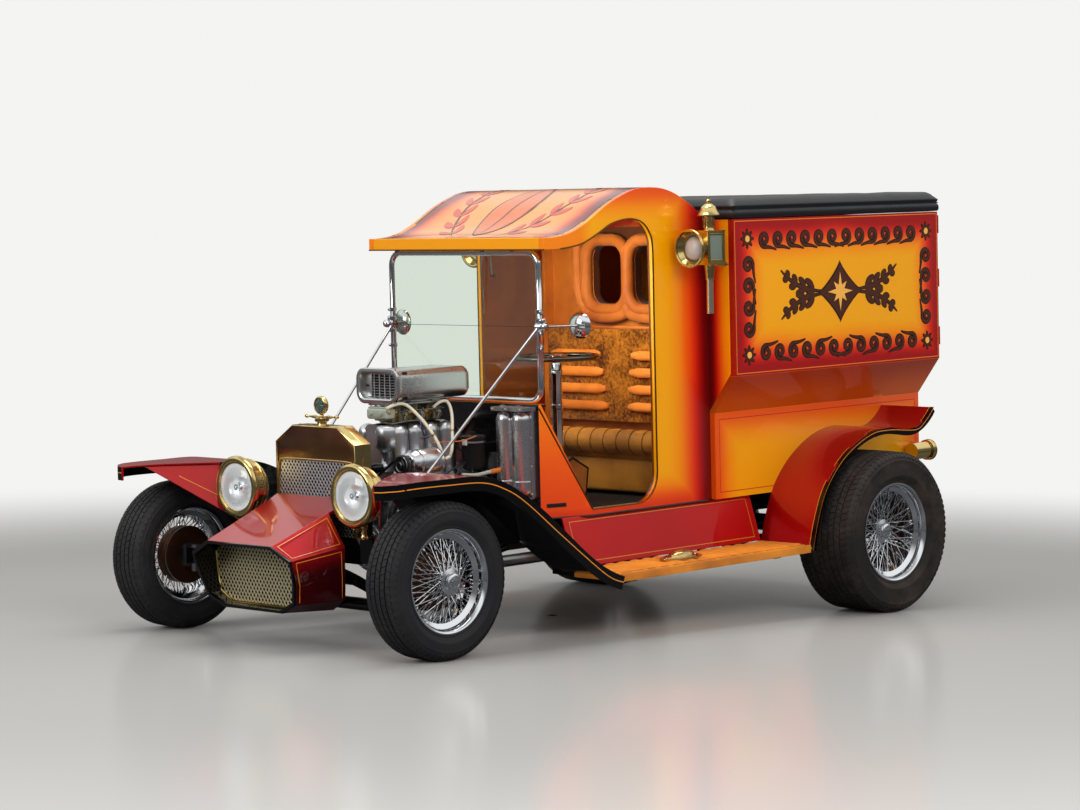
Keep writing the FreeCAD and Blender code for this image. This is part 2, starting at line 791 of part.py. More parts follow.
def make_frame():
    rail = block("rail", ("rail_rear", "rail_front"), ("rail_half - rail_width", "rail_half"),
                 ("rail_top - rail_height", "rail_top"))
    pads = [block(f"jack_pad_{index}", (f"{place} - pad_long / 2", f"{place} + pad_long / 2"),
                  ("rail_half - rail_width", "rail_half"), ("rail_top - rail_height - pad_high", "rail_top - rail_height"))
            for index, place in enumerate(("front_pad_place", "rear_pad_place"))]
    front = drum("tie_down_front", UPRIGHT, "rail_front - 65", "rail_half - rail_width / 2",
                 "rail_top - rail_height - 1", "tow_hole_radius", "rail_height + 2")
    rear = drum("tie_down_rear", ALONG_Y, "rail_rear + 35", "rail_half - rail_width - 1",
                "rail_top - rail_height / 2", "tow_hole_radius", "rail_width + 2")
    drilled = cut("rail_drilled", fused("rail_padded", rail, *pads), fused("tie_down_holes", front, rear))
    raked(pair("frame_rails", drilled), "frame_rails")
    inner = "rail_half - rail_width"
    members = []
    members.append(block("front_member", ("rail_front - 60", "rail_front"), (f"-({inner})", inner),
                         ("rail_top - rail_height", "rail_top - rail_height + member_height")))
    members.append(block("radiator_member", ("radiator_front - radiator_deep", "radiator_front"),
                         (f"-({inner})", inner), ("radiator_low - member_height", "radiator_low")))
    for index, place in enumerate(("box_front - 100", "rail_rear")):
        members.append(block(f"member_{index}", (place, f"{place} + 60"), (f"-({inner})", inner),
                             ("rail_top - member_height", "rail_top")))
    mount = block("gearbox_mount", ("engine_rear - 330", "engine_rear - 270"), ("gearbox_width / 2", inner),
                  ("rail_top - rail_height", "rail_top - rail_height + member_height"))
    members += [mount, mirrored("gearbox_mount_right", mount)]
    for index, place in enumerate(("board_front - 150", "board_rear + 130")):
        leg = extruded(f"outrigger_{index}", "YZ_Plane", [
            ("rail_half - 14", "rail_top - rail_height"), ("rail_half - 14", "board_top - board_thick - 12"),
            ("board_outer - 60", "board_top - board_thick - 12"), ("board_outer - 60", "board_top - board_thick"),
            ("rail_half", "board_top - board_thick"), ("rail_half", "rail_top - rail_height")],
            place, f"{place} + 40")
        members += [leg, mirrored(f"outrigger_mirror_{index}", leg)]
    raked(group("frame_member_set", *members), "frame_members")


make_frame()


# Fenders, running boards and aprons

def band(points, depth, low, high):
    """A strip of sheet that follows a side curve, from one side distance to another."""
    spots = [Vector(x, 0, z) for x, z in points]
    inner = []
    for index, spot in enumerate(spots):
        ahead = spots[min(index + 1, len(spots) - 1)] - spots[max(index - 1, 0)]
        normal = Vector(ahead.z, 0, -ahead.x).normalize()
        inner.append(spot + normal * depth)
    top = curve(spots)
    under = curve(inner)
    ends = [Part.makeLine(spots[0], inner[0]), Part.makeLine(spots[-1], inner[-1])]
    strip = prism([top, under] + ends, Vector(0, high - low, 0))
    strip.translate(Vector(0, low, 0))
    return strip


def plate_under(points, side, thickness):
    """An upright plate below a side curve, down to its lowest end."""
    spots = [Vector(x, side, z) for x, z in points]
    low = min(spot.z for spot in spots) - 100
    feet = [Vector(spots[-1].x, side, low), Vector(spots[0].x, side, low)]
    lines = [Part.makeLine(spots[-1], feet[0]), Part.makeLine(feet[0], feet[1]), Part.makeLine(feet[1], spots[0])]
    return prism([curve(spots)] + lines, Vector(0, thickness, 0))


FRONT_FENDER = [(451, 275), (547, 315), (768, 476), (981, 638), (1100, 703), (1221, 737), (1400, 743),
                (1560, 744), (1650, 741), (1705, 736)]
REAR_FENDER = [(-1560, 812), (-1500, 758), (-1437, 730), (-1262, 742), (-1124, 730), (-951, 650),
               (-820, 524), (-752, 385), (-716, 262)]


def column_over(points):
    """The upright column over an outline in plan."""
    ring = [Vector(x, y, 0) for x, y in points]
    return Part.Face(Part.makePolygon(ring + ring[:1])).extrude(Vector(0, 0, 1000))


def make_front_fenders():
    """A flat-topped blade cut slantwise at its inner front corner, with a deep black flange
    round its outer edge, an inner web and a gusset down to the frame horn."""
    inner, outer, sheet_metal = mm.front_fender_inner, mm.front_fender_outer, mm.fender_sheet
    start, nose, bend = mm.board_front, mm.fender_nose, mm.fender_bend
    rim = [(0, 89), (7, 54), (39, 14), (77, 0)]
    cover = column_over([(start, inner), (bend, inner)] + [(nose - x, outer - y) for x, y in rim] + [(start, outer)])
    within = column_over([(start, 0), (nose - sheet_metal, 0)]
                         + [(nose - x - sheet_metal, outer - y - sheet_metal) for x, y in rim]
                         + [(start, outer - sheet_metal)])
    skin = band(FRONT_FENDER, sheet_metal, inner, outer).common(cover)
    flange = band(FRONT_FENDER, mm.fender_flange, inner, outer).common(cover).cut(within)
    region = Part.makePolygon([Vector(x, inner, z) for x, z in (
        (700, 422), (700, 900), (bend, 900), (bend, 640), (1300, 540), (1150, 440), (780, 420), (700, 422))])
    web = plate_under(FRONT_FENDER, inner, sheet_metal).common(
        Part.Face(region).extrude(Vector(0, sheet_metal, 0)))
    rail = mm.rail_half
    corners = [Vector(1645, 745, 760), Vector(1340, inner, 760), Vector(1300, rail - 2, 450)]
    across = (corners[1] - corners[0]).cross(corners[2] - corners[0]).normalize() * sheet_metal
    gusset = Part.Face(Part.makePolygon(corners + corners[:1])).extrude(across)
    gusset = gusset.common(plate_under(FRONT_FENDER, rail, outer - rail))
    foot = Part.makeBox(46, 12, 44, Vector(1284, rail, mm.rail_top - 48))
    left = shaped(joined(skin, flange, web, gusset, foot), "front_fender")
    raked(pair("front_fenders", left), "front_fenders")


def make_rear_fenders():
    inner, outer = mm.lower_half, mm.rear_fender_outer
    skin = band(REAR_FENDER, mm.fender_sheet, inner, outer)
    flange = band(REAR_FENDER, mm.rear_flange, outer - mm.fender_sheet, outer)
    left = shaped(joined(skin, flange), "rear_fender")
    raked(pair("rear_fenders", left), "rear_fenders")


def make_boards():
    board = block("board", ("board_rear + 4", "board_front"), ("board_inner", "board_outer"),
                  ("board_top - board_thick", "board_top"))
    raked(pair("running_boards", board), "running_boards")
    foot = "board_inner + 4"
    head = "cab_half - 23"
    apron = extruded("apron", "YZ_Plane", [
        (head, "sill"), (f"{head} + apron_sheet", "sill"), (f"{foot} + apron_sheet", "board_top"),
        (foot, "board_top")], "board_rear + 20", "board_front")
    raked(pair("splash_aprons", apron), "splash_aprons")


make_front_fenders()
make_rear_fenders()
make_boards()


# Cab

ROOF_LINE = [(-440, 1664), (-340, 1736), (-266, 1775), (-180, 1803), (-96, 1811), (-5, 1805), (86, 1778),
             (176, 1739), (266, 1688), (355, 1646), (442, 1625), (535, 1621)]
HEAD_LINE = [(441, 1573), (323, 1589), (226, 1628), (153, 1663), (80, 1680), (19, 1683), (-42, 1667),
             (-85, 1623), (-102, 1555)]


def make_cab_sides():
    """Side walls with the open C of the doorway and the wave of the roof edge."""
    wall = mm.cab_wall
    low = mm.sill
    front = mm.cowl_bend
    corner = 120
    rear = mm.door_rear
    step = low + mm.step_over

    def at(x, z):
        return Vector(x, mm.cab_half - wall, z)

    roof = curve([at(x, z) for x, z in ROOF_LINE])
    head = curve([at(x, z) for x, z in HEAD_LINE])
    lip = mm.visor_low
    slant = math.sqrt(0.5)
    turn = Part.Arc(at(rear, step + corner), at(rear + corner * (1 - slant), step + corner * (1 - slant)),
                    at(rear + corner, step)).toShape()
    edges = [
        roof,
        Part.makeLine(at(mm.visor_front, ROOF_LINE[-1][1]), at(mm.visor_front, lip)),
        Part.makeLine(at(mm.visor_front, lip), at(*HEAD_LINE[0])),
        head,
        Part.makeLine(at(*HEAD_LINE[-1]), at(rear, step + corner)),
        turn,
        Part.makeLine(at(rear + corner, step), at(front, step)),
        Part.makeLine(at(front, step), at(front, low)),
        Part.makeLine(at(front, low), at(mm.box_front, low)),
        Part.makeLine(at(mm.box_front, low), at(*ROOF_LINE[0])),
    ]
    left = shaped(prism(edges, Vector(0, wall, 0)), "cab_side")
    raked(pair("cab_sides", left), "cab_sides")


def make_cab_roof():
    """The waved roof skin and its visor between the two sides."""
    inner = mm.cab_half - mm.cab_wall
    skin = mm.roof_skin
    spots = [Vector(x, -inner, z) for x, z in ROOF_LINE]
    under = []
    for index, spot in enumerate(spots):
        ahead = spots[min(index + 1, len(spots) - 1)] - spots[max(index - 1, 0)]
        under.append(spot + Vector(ahead.z, 0, -ahead.x).normalize() * skin)
    under = under[:-2] + [Vector(*(430, -inner, mm.visor_low)), Vector(mm.visor_front, -inner, mm.visor_low)]
    under[0] = Vector(mm.box_front, -inner, under[0].z)
    edges = [curve(spots), curve(under[:-1]), Part.makeLine(under[-2], under[-1]),
             Part.makeLine(spots[0], under[0]), Part.makeLine(spots[-1], under[-1])]
    raked(shaped(prism(edges, Vector(0, 2 * inner, 0)), "cab_roof"), "cab_roof")


def make_cowl():
    """The firewall, its narrow top ledge and the two slanted wings in front of the doorways."""
    plan = [("cowl_bend", "cab_half - cab_wall"), ("cowl_bend", "cab_half"), ("cowl_front", "cowl_half"),
            ("cowl_front - 14", "cowl_half - cab_wall")]
    wing = extruded("wing_plan", "XY_Plane", plan, "sill", "cowl_top")
    rise = extruded("wing_rise", "XZ_Plane", [
        ("cowl_bend", "sill"), ("cowl_front", "sill"), ("cowl_front", "cowl_top"),
        ("cowl_front - 10", "cowl_top"), ("cowl_bend", "sill + step_over")], "0", "cab_half")
    rise.Placement = Placement()
    side = doc.addObject("Part::Common", "wing")
    side.Base = wing
    side.Tool = rise
    wall = block("firewall_wall", ("cowl_front - 14", "cowl_front"), ("-cowl_half", "cowl_half"),
                 ("sill", "cowl_top"))
    ledge = block("cowl_ledge", ("glass_place - 22", "cowl_front"), ("-cowl_half + 8", "cowl_half - 8"),
                  ("cowl_top - 12", "cowl_top"))
    raked(fused("cowl", wall, ledge, side, mirrored("wing_right", side)), "cowl")


def make_cab_floor():
    inner = "cab_half - cab_wall"
    floor = extruded("cab_floor", "XY_Plane", [
        ("box_front", f"-({inner})"), ("cowl_bend", f"-({inner})"), ("cowl_front - 14", "-cowl_half + cab_wall"),
        ("cowl_front - 14", "cowl_half - cab_wall"), ("cowl_bend", inner), ("box_front", inner)],
        "sill", "sill + floor_sheet")
    raked(floor, "cab_floor")


def make_firewall_box():
    """A polished casting on the firewall with two tall round-ended bulges."""
    face = mm.cowl_front
    back = soft_block((face, 258, 560), (face + 28, 430, 940), 20)
    shelf = soft_block((face, 252, 925), (face + 88, 438, 940), 10, 2)
    lobes = [capsule((face + 42, side, 612), (face + 42, side, 885), 42) for side in (300, 387)]
    neck = rod((face + 36, 343, 534), (face + 36, 343, 600), 26)
    front = Part.makeBox(200, 400, 600, Vector(face, 200, 480))
    raked(shaped(joined(back, shelf, neck, *lobes).common(front), "firewall_box"), "firewall_box")


def make_oil_filter():
    """A canister on a bracket from the firewall."""
    face = mm.cowl_front
    centre = (face + 133, 200)
    can = lathe([(0, 0), (0, 30), (8, 44), (20, mm.filter_radius), (126, mm.filter_radius), (130, 52), (140, 52),
                 (144, 40), (144, 0)], (*centre, 683), (0, 0, 1))
    arm = Part.makeBox(133, 24, 40, Vector(face, 188, 750))
    bolt = rod((*centre, 820), (*centre, 840), 11)
    raked(shaped(joined(can, arm, bolt), "oil_filter"), "oil_filter")


make_cab_sides()
make_cab_roof()
make_cowl()
make_cab_floor()
make_firewall_box()
make_oil_filter()


# Interior

def make_bulkhead():
    """The padded wall behind the seat, with two windows and a return to each cab side."""
    half = "cab_half - cab_wall"
    wall = extruded("bulkhead_wall", "YZ_Plane", [
        (f"-({half})", "sill + floor_sheet"), (half, "sill + floor_sheet"), (half, "box_top"),
        (f"-({half})", "box_top")], "bulkhead_place - bulkhead_pad", "box_front - box_wall")
    hollow = block("bulkhead_hollow", ("bulkhead_place", "box_front"),
                   (f"-({half}) + 16", f"{half} - 16"), ("sill", "box_top + 1"))
    panes = []
    for side in (1, -1):
        near = "window_gap / 2" if side > 0 else "-window_gap / 2 - window_width"
        pane = block(f"pane_{side + 1}", ("bulkhead_place - 100", "bulkhead_place + 100"),
                     (near, f"{near} + window_width"), ("window_low", "window_high"))
        doc.recompute()
        panes.append(rounded(f"pane_corner_{side + 1}", pane, mm.window_corner, lambda edge: True))
    holes = fused("bulkhead_holes", hollow, *panes)
    raked(cut("bulkhead_cut", wall, holes), "bulkhead")


def make_seat():
    """A bench with a rolled front edge and a padded back, between the cab's walls."""
    half = "(cab_half - cab_wall - seat_gap)"
    base = block("seat_base", ("bulkhead_place", "seat_front"), (f"-{half}", half),
                 ("sill + floor_sheet", "seat_height - seat_roll"))
    top = block("seat_top", ("bulkhead_place", "seat_front - seat_roll"), (f"-{half}", half),
                ("seat_height - seat_roll", "seat_height"))
    roll = drum("seat_roll_bar", ALONG_Y, "seat_front - seat_roll + 12", f"-{half}",
                "seat_height - seat_roll", "seat_roll", f"2 * {half}")
    back = block("seat_pad", ("bulkhead_place", "bulkhead_place + 45"), (f"-{half}", half),
                 ("seat_height", "pad_top"))
    raked(fused("seat", base, top, roll, back), "seat")


def make_console():
    body = extruded("console", "XZ_Plane", [
        ("-10", "sill + floor_sheet"), ("170", "sill + floor_sheet"), ("190", "sill + 150"),
        ("60", "sill + 200"), ("-30", "sill + 150")], "-60", "190")
    raked(body, "console")


make_bulkhead()
make_seat()
make_console()


# Windshield and mirrors

def make_windshield():
    """A closed tube frame with rounded corners, its stays down to the rails and its two mirrors."""
    place = mm.glass_place
    half = mm.frame_half
    low = mm.cowl_top + mm.frame_tube
    high = mm.visor_low - mm.frame_tube
    middle = (low + high) / 2
    path = [(place, 0, low), (place, half, low), (place, half, high), (place, 0, high)]
    left = tube(path, mm.frame_tube, mm.frame_bend)
    clamp = rod((place, half - 8, middle), (place, half + 26, middle), 15)
    foot = Vector(mm.stay_place, mm.stay_side, mm.rail_top)
    stay = rod((place + 6, half, middle), foot + Vector(0, 0, 7), mm.stay_radius)
    shoe = rod(foot, foot + Vector(0, 0, 14), mm.stay_foot)
    hinge = Vector(place - mm.mirror_back, half + mm.mirror_out, middle)
    arm = rod((place, half + 10, middle), hinge, 5)
    glass = rod(hinge, hinge + Vector(-18, 2, 0), mm.mirror_radius)
    bar = rod((place, half - 4, middle), (place, 0, middle), 6)
    side = joined(left, clamp, stay, shoe, arm, glass, bar)
    whole = side.fuse(side.mirror(Vector(), Vector(0, 1, 0))).removeSplitter()
    raked(shaped(whole, "windshield_frame"), "windshield_frame")
    inner = "frame_half - frame_tube - glass_gap"
    lower = block("pane_low", ("glass_place - glass_sheet / 2", "glass_place + glass_sheet / 2"),
                  (f"-({inner})", inner), ("cowl_top + 2 * frame_tube + glass_gap", "(cowl_top + visor_low) / 2 - 7"))
    upper = block("pane_high", ("glass_place - glass_sheet / 2", "glass_place + glass_sheet / 2"),
                  (f"-({inner})", inner), ("(cowl_top + visor_low) / 2 + 7", "visor_low - 2 * frame_tube - glass_gap"))
    doc.recompute()
    outer = mm.frame_bend - mm.frame_tube
    panes = [rounded("pane_low_cut", lower, outer, lambda edge: edge.CenterOfMass.z < middle - 60),
             rounded("pane_high_cut", upper, outer, lambda edge: edge.CenterOfMass.z > middle + 60)]
    raked(group("windshield_panes", *panes), "windshield_glass")


def make_steering():
    column = drum("steering_column", UPRIGHT, "wheel_place", "column_side", "sill + floor_sheet",
                  "column_radius", "wheel_level - sill - floor_sheet - 19.3")
    raked(column, "steering_column")
    centre = Vector(mm.wheel_place, mm.column_side, mm.wheel_level)
    grip = 12
    reach = mm.wheel_radius - grip
    hub = Part.makeCylinder(26, 33, centre - Vector(0, 0, 19))
    ring = Part.makeTorus(reach, grip, centre)
    arms = [rod(centre, centre + Vector(reach * math.cos(turn), reach * math.sin(turn), 0), 7)
            for turn in (math.radians(90), math.radians(210), math.radians(330))]
    raked(shaped(joined(ring, hub, *arms), "steering_wheel"), "steering_wheel")


make_windshield()
make_steering()


# Load box

HINGE_LEVELS = ("ledge_top + 60", "ledge_top + 320", "ledge_top + 560")


def make_box():
    """Overhung side walls, front steps, floor, padded roof and two rear doors."""
    wall = "box_wall"
    side = extruded("box_side", "YZ_Plane", [
        (f"lower_half - {wall}", "sill"), ("lower_half", "sill"), ("lower_half", "ledge_low"),
        ("box_half", "ledge_top"), ("box_half", "box_top"), (f"box_half - {wall}", "box_top"),
        (f"box_half - {wall}", "ledge_top + 9"), (f"lower_half - {wall}", "ledge_low + 9")],
        "box_rear", "box_front")
    posts = []
    for index, level in enumerate(HINGE_LEVELS):
        posts.append(drum(f"hinge_post_{index}", UPRIGHT, "box_rear - hinge_radius", "box_half - box_wall / 2",
                          level, "hinge_radius", "40"))
        posts.append(block(f"hinge_root_{index}", ("box_rear - hinge_radius", "box_rear"),
                           ("box_half - box_wall / 2 - 4", "box_half - box_wall / 2 + 4"),
                           (level, f"{level} + 40")))
    raked(pair("box_sides", fused("box_side_hinged", side, *posts)), "box_sides")
    step = extruded("box_step", "YZ_Plane", [
        ("cab_half - cab_wall", "sill + floor_sheet"), (f"lower_half - {wall}", "sill + floor_sheet"),
        (f"lower_half - {wall}", "ledge_low + 9"), (f"box_half - {wall}", "ledge_top + 9"),
        (f"box_half - {wall}", "box_top"), ("cab_half - cab_wall", "box_top")],
        f"box_front - {wall}", "box_front")
    raked(pair("box_front", step), "box_front")
    floor = block("box_floor", (f"box_rear + {wall} + door_gap", "box_front"),
                  (f"-lower_half + {wall}", f"lower_half - {wall}"), ("sill", "sill + floor_sheet"))
    raked(floor, "box_floor")
    roof = block("roof_slab", ("box_rear - roof_over", "box_front"),
                 ("-box_half - roof_over", "box_half + roof_over"), ("box_top", "box_top + roof_pad"))
    doc.recompute()
    soft = doc.addObject("Part::Fillet", "box_roof")
    soft.Base = roof
    marks = [index + 1 for index, edge in enumerate(roof.Shape.Edges)
             if edge.CenterOfMass.z > mm.box_top + mm.roof_pad - 1]
    soft.Edges = [(mark, 34, 34) for mark in marks]
    raked(soft, "box_roof")
    gap = "door_gap"
    for name, sign in (("left", ""), ("right", "-")):
        points = [
            (f"{sign}({gap} / 2)", f"sill + {gap}"), (f"{sign}(lower_half - {wall} - {gap})", f"sill + {gap}"),
            (f"{sign}(lower_half - {wall} - {gap})", f"ledge_low + 9 + {gap} / 2"),
            (f"{sign}(box_half - {wall} - {gap})", f"ledge_top + 9 + {gap} / 2"),
            (f"{sign}(box_half - {wall} - {gap})", f"box_top - {gap}"), (f"{sign}({gap} / 2)", f"box_top - {gap}")]
        leaf = extruded(f"door_{name}_leaf", "YZ_Plane", points, "box_rear", f"box_rear + {wall}")
        parts = [leaf]
        side_line = f"{sign}(box_half - box_wall / 2)"
        for index, level in enumerate(HINGE_LEVELS):
            base = f"{level} + 40 + 0.3"
            parts.append(drum(f"door_{name}_barrel_{index}", UPRIGHT, "box_rear - hinge_radius", side_line,
                              base, "hinge_radius", "40"))
            edge = ("box_half - box_wall - 60", "box_half - box_wall / 2")
            span = edge if sign == "" else (f"-({edge[1]})", f"-({edge[0]})")
            parts.append(block(f"door_{name}_strap_{index}", ("box_rear - 6", "box_rear - 0.3"), span,
                               (base, f"{base} + 40")))
            inner = ("box_half - box_wall - 60", "box_half - box_wall - 20")
            span = inner if sign == "" else (f"-({inner[1]})", f"-({inner[0]})")
            parts.append(block(f"door_{name}_foot_{index}", ("box_rear - 6", "box_rear + 2"), span,
                               (base, f"{base} + 40")))
        raked(fused(f"door_{name}_hung", *parts), "rear_door_" + name)


make_box()


# Radiator, nose and lamps

def make_radiator():
    """An eight-cornered shell over its mesh, with a filler cap and a round gauge."""
    outer = [
        ("-radiator_half", "radiator_low"), ("radiator_half", "radiator_low"),
        ("radiator_half", "radiator_shoulder"), ("radiator_cap_half", "radiator_top"),
        ("-radiator_cap_half", "radiator_top"), ("-radiator_half", "radiator_shoulder")]
    inner = [
        ("-radiator_half + shell_wall", "radiator_low - 1"), ("radiator_half - shell_wall", "radiator_low - 1"),
        ("radiator_half - shell_wall", "radiator_shoulder - 8"),
        ("radiator_cap_half - 5", "radiator_top - shell_wall"),
        ("-radiator_cap_half + 5", "radiator_top - shell_wall"),
        ("-radiator_half + shell_wall", "radiator_shoulder - 8")]
    shell = extruded("shell_outer", "YZ_Plane", outer, "radiator_front - radiator_deep", "radiator_front")
    hollow = extruded("shell_inner", "YZ_Plane", inner, "radiator_front - radiator_deep - 1",
                      "radiator_front - 6")
    window = block("shell_window", ("radiator_front - 20", "radiator_front + 5"),
                   ("-radiator_half + 22", "radiator_half - 22"), ("radiator_low - 1", "mesh_top"))
    middle = mm.radiator_front - mm.radiator_deep / 2
    top = mm.radiator_top
    cap = [lathe([(-6, 0), (-6, 19), (14, 19), (16, 26), (30, 26), (34, 20), (36, 8), (50, 7), (50, 0)],
                 (middle, 0, top), (0, 0, 1)),
           lathe([(-9, 0), (-9, 34), (-5, 37), (7, 37), (10, 33), (9, 30), (12, 0)], (middle, 0, top + 79), (1, 0, 0))]
    for side in (1, -1):
        cap.append(lathe([(0, 0), (0, 6), (18, 6), (34, 12), (52, 12), (68, 6), (76, 5), (80, 10), (88, 13), (96, 10),
                          (100, 0)], (middle, 0, top + 30), (0, side, 0)))
    open_shell = cut("shell_open", shell, fused("shell_voids", hollow, window))
    ornament = shaped(joined(*cap), "cap_ornament")
    raked(fused("radiator_shell", open_shell, ornament), "radiator_shell")
    core = block("core", ("radiator_front - radiator_deep + 8", "radiator_front - 30"),
                 ("-radiator_half + shell_wall", "radiator_half - shell_wall"),
                 ("radiator_low", "mesh_top + 60"))
    mesh = block("mesh", ("radiator_front - 10", "radiator_front - 6"),
                 ("-radiator_half + shell_wall", "radiator_half - shell_wall"), ("radiator_low", "mesh_top + 12"))
    frame = block("mesh_frame", ("radiator_front - 31", "radiator_front - 9"),
                  ("-radiator_half + shell_wall", "-radiator_half + 22"), ("radiator_low", "mesh_top"))
    raked(fused("radiator_core", core, mesh, frame, mirrored("mesh_frame_right", frame)), "radiator_core")


def make_hoses():
    """The moulded hoses from the radiator to the engine's water outlet and to its pump."""
    back = mm.radiator_front - mm.radiator_deep + 8
    radius = mm.hose_radius
    front = mm.engine_front
    upper = tube([(back, 62, 806), (back - 76, 62, 806), (front + 96, 62, 718), (front + 30, 62, 718)], radius, 34)
    lower = tube([(back, -170, 530), (front + 25, -170, 530), (front + 25, -170, 480), (front + 25, -100, 480)],
                 radius - 2, 20)
    raked(shaped(Part.makeCompound([upper, lower]), "radiator_hoses"), "radiator_hoses")


def nose_ring(x_top, x_low, points, inset):
    """One cross-section of the nose, drawn in by an inset."""
    top = max(z for y, z in points)
    low = min(z for y, z in points)
    ring = []
    full = points + [(-y, z) for y, z in reversed(points)]
    middle = (top + low) / 2
    for y, z in full:
        small_y = y - math.copysign(inset, y)
        small_z = z - inset if z > middle else z + inset
        part = (small_z - low) / (top - low)
        ring.append(Vector(x_low + (x_top - x_low) * part, small_y, small_z))
    return Part.makePolygon(ring + [ring[0]])


MOUTH = [(194, 478), (295, 426), (287, 330), (258, 250), (175, 212)]
REAR_RING = [(209, 584), (300, 456), (300, 330), (296, 250), (225, 205)]


def make_nose():
    """The faceted nose from the radiator's foot down to its open mouth."""
    outside = Part.makeLoft([nose_ring(1735, 1664, MOUTH, 0), nose_ring(1444, 1444, REAR_RING, 0)], True, True)
    wall = mm.nose_wall
    inside = Part.makeLoft([nose_ring(1736, 1665, MOUTH, wall), nose_ring(1443, 1443, REAR_RING, wall)],
                           True, True)
    shell = outside.cut(inside)
    root = mm.radiator_front
    ends = []
    for x, half, top in ((1444, 209, 584), (root, mm.radiator_half - 2, 626)):
        ends.append(Part.makePolygon([Vector(x, y, z) for y, z in (
            (-half, top), (half, top), (half, top - wall), (-half, top - wall), (-half, top))]))
    tongue = Part.makeLoft(ends, True, True)
    raked(shaped(joined(shell, tongue), "nose_shell"), "nose_shell")
    place = mm.grille_place
    plate = Part.makeBox(8, 700, 500, Vector(place, -350, 100))
    within = Part.makeLoft([nose_ring(1736, 1665, MOUTH, wall + 12), nose_ring(1443, 1443, REAR_RING, wall + 12)],
                           True, True)
    bars = []
    for layer, turn in ((0, 35), (4, -35)):
        for index in range(-9, 10):
            bar = Part.makeBox(4, 1000, 5, Vector(place + layer, -500, -2.5))
            bar.translate(Vector(0, 0, 48 * index))
            bar.rotate(Vector(), Vector(1, 0, 0), turn)
            bar.translate(Vector(0, 0, 345))
            bars.append(bar)
    slab = inside.common(plate)
    lattice = Part.makeCompound(bars).common(slab)
    raked(shaped(joined(slab.cut(within), *lattice.Solids), "nose_grille"), "nose_grille")


def make_headlamps():
    """A deep drum with a wide ring and a domed glass, on a post from the frame."""
    lamp = turned("lamp", "XY_Plane", "H_Axis", [
        ("-lamp_deep", "0"), ("-lamp_deep", "lamp_radius - 48"), ("-lamp_deep + 6", "lamp_radius - 38"),
        ("-lamp_deep + 14", "lamp_radius - 22"), ("-lamp_deep + 24", "lamp_radius - 17"), ("-30", "lamp_radius - 15"),
        ("-28", "lamp_radius - 3"), ("-24", "lamp_radius"), ("-6", "lamp_radius"), ("2", "lamp_radius - 5"),
        ("4", "lamp_radius - 14"), ("0", "lamp_radius - 24"), ("6", "lamp_radius - 34"), ("14", "lamp_radius / 2"),
        ("18", "0")])
    for axis, text in zip("xyz", ("lamp_place", "lamp_side", "lamp_height")):
        bind(lamp, "Placement.Base." + axis, text)
    post = drum("lamp_post", UPRIGHT, "lamp_place - 62", "lamp_side - 22", "rail_top",
                "11", "lamp_height - rail_top - 60")
    raked(pair("headlamps", fused("headlamp", lamp, post)), "headlamps")


make_radiator()
make_hoses()
make_nose()
make_headlamps()


# Engine

def belt_round(pulleys, grow):
    """The outline of a belt that lies outside several pulleys, given in turn as centre and radius."""
    edges = []
    leave, meet = [], []
    for (y, z, radius), (next_y, next_z, next_radius) in zip(pulleys, pulleys[1:] + pulleys[:1]):
        run = math.hypot(next_y - y, next_z - z)
        along = ((next_y - y) / run, (next_z - z) / run)
        lean = (radius - next_radius) / run
        flat = math.sqrt(1 - lean * lean)
        out = Vector(0, along[1] * flat + along[0] * lean, along[1] * lean - along[0] * flat)
        leave.append(Vector(0, y, z) + out * (radius + grow))
        meet.append(Vector(0, next_y, next_z) + out * (next_radius + grow))
        edges.append(Part.makeLine(leave[-1], meet[-1]))
    for index, (y, z, radius) in enumerate(pulleys):
        centre = Vector(0, y, z)
        middle = (meet[index - 1] + leave[index]) / 2 - centre
        edges.append(Part.Arc(meet[index - 1], centre + middle.normalize() * (radius + grow), leave[index]).toShape())
    return Part.Face(Part.Wire(Part.__sortEdges__(edges)))


def make_block():
    """Crankcase, two banks of cylinders, a finned sump and a foot to each rail."""
    rear, front, level = mm.engine_rear, mm.engine_front, mm.crank_height
    case = soft_block((rear, -120, level - 60), (front, 120, level + 100), 14)
    sump = soft_block((rear + 30, -90, level - 145), (front - 30, 90, level - 40), 24)
    fins = [Part.makeBox(6, 196, 70, Vector(rear + 60 + 40 * index, -98, level - 128)) for index in range(8)]
    rail = mm.rail_half - mm.rail_width
    feet = [Part.makeBox(70, rail - 110, 36, Vector(front - 240, 110 if side > 0 else -rail, mm.rail_top - 90))
            for side in (1, -1)]
    shaft = lathe([(0, 0), (0, 20), (250, 20), (255, 38), (300, 38), (302, 43), (312, 43), (345, 38), (352, 30),
                   (352, 0)], (rear + 22, 0, level + 90), (0, 0, 1))
    towers = [rod((rear + 22 + 26 * math.cos(turn), 26 * math.sin(turn), level + 430),
                  (rear + 22 + 26 * math.cos(turn), 26 * math.sin(turn), level + 456), 6)
              for turn in (math.radians(45 * index) for index in range(8))]
    whole = joined(case, sump, make_bank(1), make_bank(-1), shaft, *fins, *feet, *towers)
    raked(shaped(whole, "engine_block"), "engine_block")


